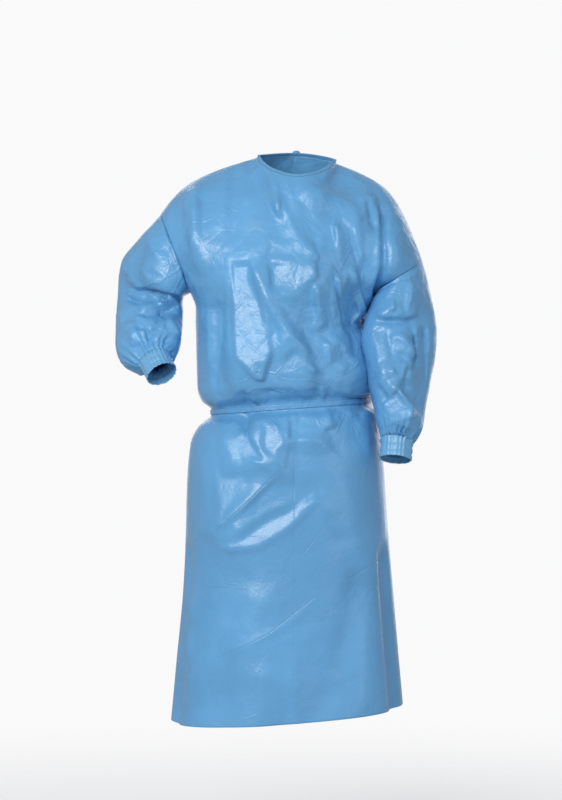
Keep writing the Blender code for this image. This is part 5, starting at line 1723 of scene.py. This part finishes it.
def build_belt():
    cloth = garment()
    heights = row_heights()[0]
    row = YOKE_ROWS + 1 + int(np.argmin(np.abs(heights - BELT_Z)))
    back, front = cloth.grids["back"], cloth.grids["front"]
    low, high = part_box("belt_knot")
    middle = cloth.points[back[row, BACK_MIDDLE]]
    spacing = np.linalg.norm(cloth.points[back[row, BACK_MIDDLE + 1]] - middle)
    start = ((high - low).x / 2 + SEAM_GAP) / spacing
    sides = np.arange(math.ceil(start), BACK_MIDDLE)
    columns = np.concatenate([[BACK_MIDDLE - start], BACK_MIDDLE - sides, [0.0]])
    points, normals = cloth.points[back], cloth.normals[back]
    right, right_out = row_at(points, row, columns), row_at(normals, row, columns)
    left = row_at(points, row, COLUMNS - columns)[::-1]
    left_out = row_at(normals, row, COLUMNS - columns)[::-1]
    path = np.concatenate([right, cloth.points[front[row, 1:-1]], left])
    outward = np.concatenate([right_out, cloth.normals[front[row, 1:-1]], left_out])
    path, outward = fine_path(path, unit(outward * np.array([1, 1, 0])), TRIM_STEP)
    lift = bpy.context.scene.gown_cloth.thickness / 2 + BELT_LIFT + BELT_THICKNESS / 2
    path = path + outward * lift
    across = np.cross(unit(np.gradient(path, axis=0)), outward)
    profile = strip_profile(BELT_WIDTH, BELT_THICKNESS, BELT_GROOVE)
    belt = ribbon("belt_strip", path, across, outward, profile, finish("trim"))
    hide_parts("belt")
    knot("belt_knot", finish("trim"))
    for side, twist in BELT_END_TWIST.items():
        size = (BELT_WIDTH, BELT_THICKNESS, twist)
        hanging_strip("belt_string_" + side, "belt_end_" + side, *size, finish("trim"))
    lines = []
    for tack_x in TACKS_X:
        at = np.argmin(np.abs(path[:, 0] - tack_x) + np.where(path[:, 1] > 0, 1.0, 0.0))
        middle = path[at] + outward[at] * (BELT_THICKNESS / 2 + TRIM_STITCH_LIFT)
        half = across[at] * TACK_HALF_LENGTH
        for shift in TACK_SHIFTS:
            place = middle + np.array([shift, 0, 0])
            lines.append([place - half, place + half])
    stitches("belt_tacks", lines, False, TACK_THREAD)


def soft_light(name, place, size, power, color=(1.0, 1.0, 1.0)):
    lamp = bpy.data.lights.new(name, "AREA")
    lamp.color = color
    lamp.shape = "RECTANGLE"
    lamp.size, lamp.size_y = size
    lamp.energy = power
    made = bpy.data.objects.new(name, lamp)
    made.location = place
    made.rotation_mode = "QUATERNION"
    way = Vector(place) - Vector(LIGHT_TARGET)
    made.rotation_quaternion = way.to_track_quat("Z", "Y")
    bpy.context.scene.collection.objects.link(made)


def build_stage():
    scene = bpy.context.scene
    studio = scene.gown_studio
    camera = bpy.data.cameras.new("camera")
    camera.lens = CAMERA_LENS
    camera.sensor_width = SENSOR_WIDTH
    camera.dof.use_dof = False
    viewer = bpy.data.objects.new("camera", camera)
    viewer.location = CAMERA_PLACE
    viewer.rotation_euler = (math.pi / 2, 0.0, 0.0)
    scene.collection.objects.link(viewer)
    scene.camera = viewer
    soft_light("key_light", KEY_PLACE, KEY_SIZE, studio.key_power, studio.key_color)
    soft_light("fill_light", FILL_PLACE, FILL_SIZE, studio.fill_power)
    soft_light("back_light", BACK_PLACE, BACK_SIZE, studio.back_power)
    build_floor()
    build_world(studio)
    scene.view_settings.view_transform = "Standard"


def build_floor():
    """A pale round floor that fades out toward its edge."""
    build = bmesh.new()
    bmesh.ops.create_circle(build, cap_ends=True, segments=FLOOR_SIDES, radius=FLOOR_RADIUS)
    mesh = bpy.data.meshes.new("floor")
    build.to_mesh(mesh)
    build.free()
    mesh.transform(Matrix.Translation((0.0, 0.0, FLOOR_Z)))
    made, wire = blank_material("studio_floor")
    place = wire.node("ShaderNodeTexCoord", output="Object")
    away = wire.node("ShaderNodeVectorMath", {"operation": "LENGTH"}, {0: place}, output=1)
    paint = wire.node(
        "ShaderNodeBsdfPrincipled",
        inputs={"Base Color": FLOOR_COLOR, "Roughness": FLOOR_ROUGHNESS},
    )
    clear = wire.node("ShaderNodeBsdfTransparent")
    faded = wire.node(
        "ShaderNodeMixShader", inputs={0: away.band(FLOOR_FADE_START, FLOOR_RADIUS), 1: paint, 2: clear}
    )
    finish_material(made, faded)
    mesh.materials.append(made)
    floor = bpy.data.objects.new("floor", mesh)
    bpy.context.scene.collection.objects.link(floor)


def build_world(studio):
    world = bpy.data.worlds.new("studio")
    world.use_nodes = True
    world.node_tree.nodes.clear()
    wire = Wire(world.node_tree)
    seen = wire.node("ShaderNodeLightPath", output="Is Camera Ray")
    around = wire.node(
        "ShaderNodeBackground", inputs={"Color": AROUND_COLOR, "Strength": studio.ambient}
    )
    behind = wire.node("ShaderNodeBackground", inputs={"Color": BACKDROP_COLOR})
    both = wire.node("ShaderNodeMixShader", inputs={0: seen, 1: around, 2: behind})
    output = world.node_tree.nodes.new("ShaderNodeOutputWorld")
    world.node_tree.links.new(both.socket, output.inputs["Surface"])
    bpy.context.scene.world = world


def length(name, description, default, least, most):
    """A length in metres that a user can change."""
    return FloatProperty(
        name=name,
        description=description,
        default=default,
        min=least,
        max=most,
        precision=4,
        unit="LENGTH",
    )


def factor(name, description, default, least, most):
    """A share, or a number near 1, that a user can change."""
    return FloatProperty(
        name=name, description=description, default=default, min=least, max=most, subtype="FACTOR"
    )


def watts(name, description, default):
    """A lamp's power that a user can change."""
    return FloatProperty(name=name, description=description, default=default, min=0.0, unit="POWER")


def tint(name, description, default):
    """A colour that a user can change."""
    return FloatVectorProperty(
        name=name, description=description, default=default, min=0.0, max=1.0, subtype="COLOR"
    )


class GownCloth(PropertyGroup):
    """Sizes, colours and shine of the cloth"""

    thickness: length("Thickness", "Thickness of the cloth's shell", CLOTH_THICKNESS, 0.0002, 0.002)
    crease_strength: factor("Creases", "Depth of the placed creases, where 1 is as placed", 1.0, 0.0, 1.5)
    facet_depth: length("Facets", "Depth of the dents between the creases", 0.0024, 0.0, 0.012)
    relief: factor("Relief", "Strength of the embossing and crinkles in the finish", 0.8, 0.0, 1.0)
    roughness: factor("Roughness", "Mean roughness of the coating", 0.33, 0.1, 0.9)
    coat: factor("Coat", "Weight of the clear coat", 0.15, 0.0, 1.0)
    cloth_color: tint("Cloth", "Colour of the panels and sleeves", CLOTH_BLUE)
    trim_color: tint("Trim", "Colour of the neck edge, the belt and the ties", TRIM_BLUE)
    elastic_color: tint("Cuffs", "Colour of the elastic cuffs", ELASTIC_BLUE)
    thread_color: tint("Thread", "Colour of the stitches", THREAD_BLUE)


class GownStudio(PropertyGroup):
    """Light of the studio"""

    key_power: watts("Key light", "Power of the large light above and beside the camera", 74.0)
    key_color: tint("Key colour", "Colour of the key light", KEY_COLOR)
    fill_power: watts("Fill light", "Power of the light on the gown's left", 10.0)
    back_power: watts("Back light", "Power of the light behind the gown", 46.0)
    ambient: factor("Ambient", "Strength of the light from all around", 0.43, 0.0, 2.0)


class GOWN_OT_panels(Operator):
    """Build the front and the two lapped back panels"""

    bl_idname = "gown.panels"
    bl_label = "Panels"

    def execute(self, context):
        build_panels()
        return {"FINISHED"}


class GOWN_OT_sleeves(Operator):
    """Build the two sleeves"""

    bl_idname = "gown.sleeves"
    bl_label = "Sleeves"

    def execute(self, context):
        build_sleeves()
        return {"FINISHED"}


class GOWN_OT_cuffs(Operator):
    """Build the two elastic cuffs with their stitching"""

    bl_idname = "gown.cuffs"
    bl_label = "Cuffs"

    def execute(self, context):
        build_cuffs()
        return {"FINISHED"}


class GOWN_OT_neck(Operator):
    """Build the neck edge with its stitching, its knot and its two ties"""

    bl_idname = "gown.neck"
    bl_label = "Neck"

    def execute(self, context):
        build_neck()
        return {"FINISHED"}


class GOWN_OT_belt(Operator):
    """Build the belt with its tacks, its knot and its two ends"""

    bl_idname = "gown.belt"
    bl_label = "Belt"

    def execute(self, context):
        build_belt()
        return {"FINISHED"}


class GOWN_OT_cuts(Operator):
    """A step that does nothing: it states no flat cut of the sheets"""

    bl_idname = "gown.cuts"
    bl_label = "Cuts"

    def execute(self, context):
        return {"FINISHED"}


class GOWN_OT_stage(Operator):
    """Build the camera, the lights, the floor and the world"""

    bl_idname = "gown.stage"
    bl_label = "Studio"

    def execute(self, context):
        build_stage()
        return {"FINISHED"}


class VIEW3D_PT_gown(Panel):
    """The gown's sizes and its operators"""

    bl_label = "Isolation gown"
    bl_idname = "VIEW3D_PT_gown"
    bl_space_type = "VIEW_3D"
    bl_region_type = "UI"
    bl_category = "Gown"

    def draw(self, context):
        layout = self.layout
        for group in (context.scene.gown_cloth, context.scene.gown_studio):
            box = layout.box()
            for name in group.bl_rna.properties.keys():
                if name not in ("rna_type", "name"):
                    box.prop(group, name)
        for operator in OPERATORS:
            layout.operator(operator.bl_idname)


OPERATORS = (
    GOWN_OT_panels,
    GOWN_OT_sleeves,
    GOWN_OT_cuffs,
    GOWN_OT_neck,
    GOWN_OT_belt,
    GOWN_OT_cuts,
    GOWN_OT_stage,
)
CLASSES = (GownCloth, GownStudio, *OPERATORS, VIEW3D_PT_gown)


def register():
    for item in CLASSES:
        bpy.utils.register_class(item)
    bpy.types.Scene.gown_cloth = PointerProperty(type=GownCloth)
    bpy.types.Scene.gown_studio = PointerProperty(type=GownStudio)


def unregister():
    del bpy.types.Scene.gown_studio
    del bpy.types.Scene.gown_cloth
    for item in reversed(CLASSES):
        bpy.utils.unregister_class(item)


def main():
    register()
    for operator in OPERATORS:
        group, name = operator.bl_idname.split(".")
        getattr(getattr(bpy.ops, group), name)()


if __name__ == "__main__":
    main()
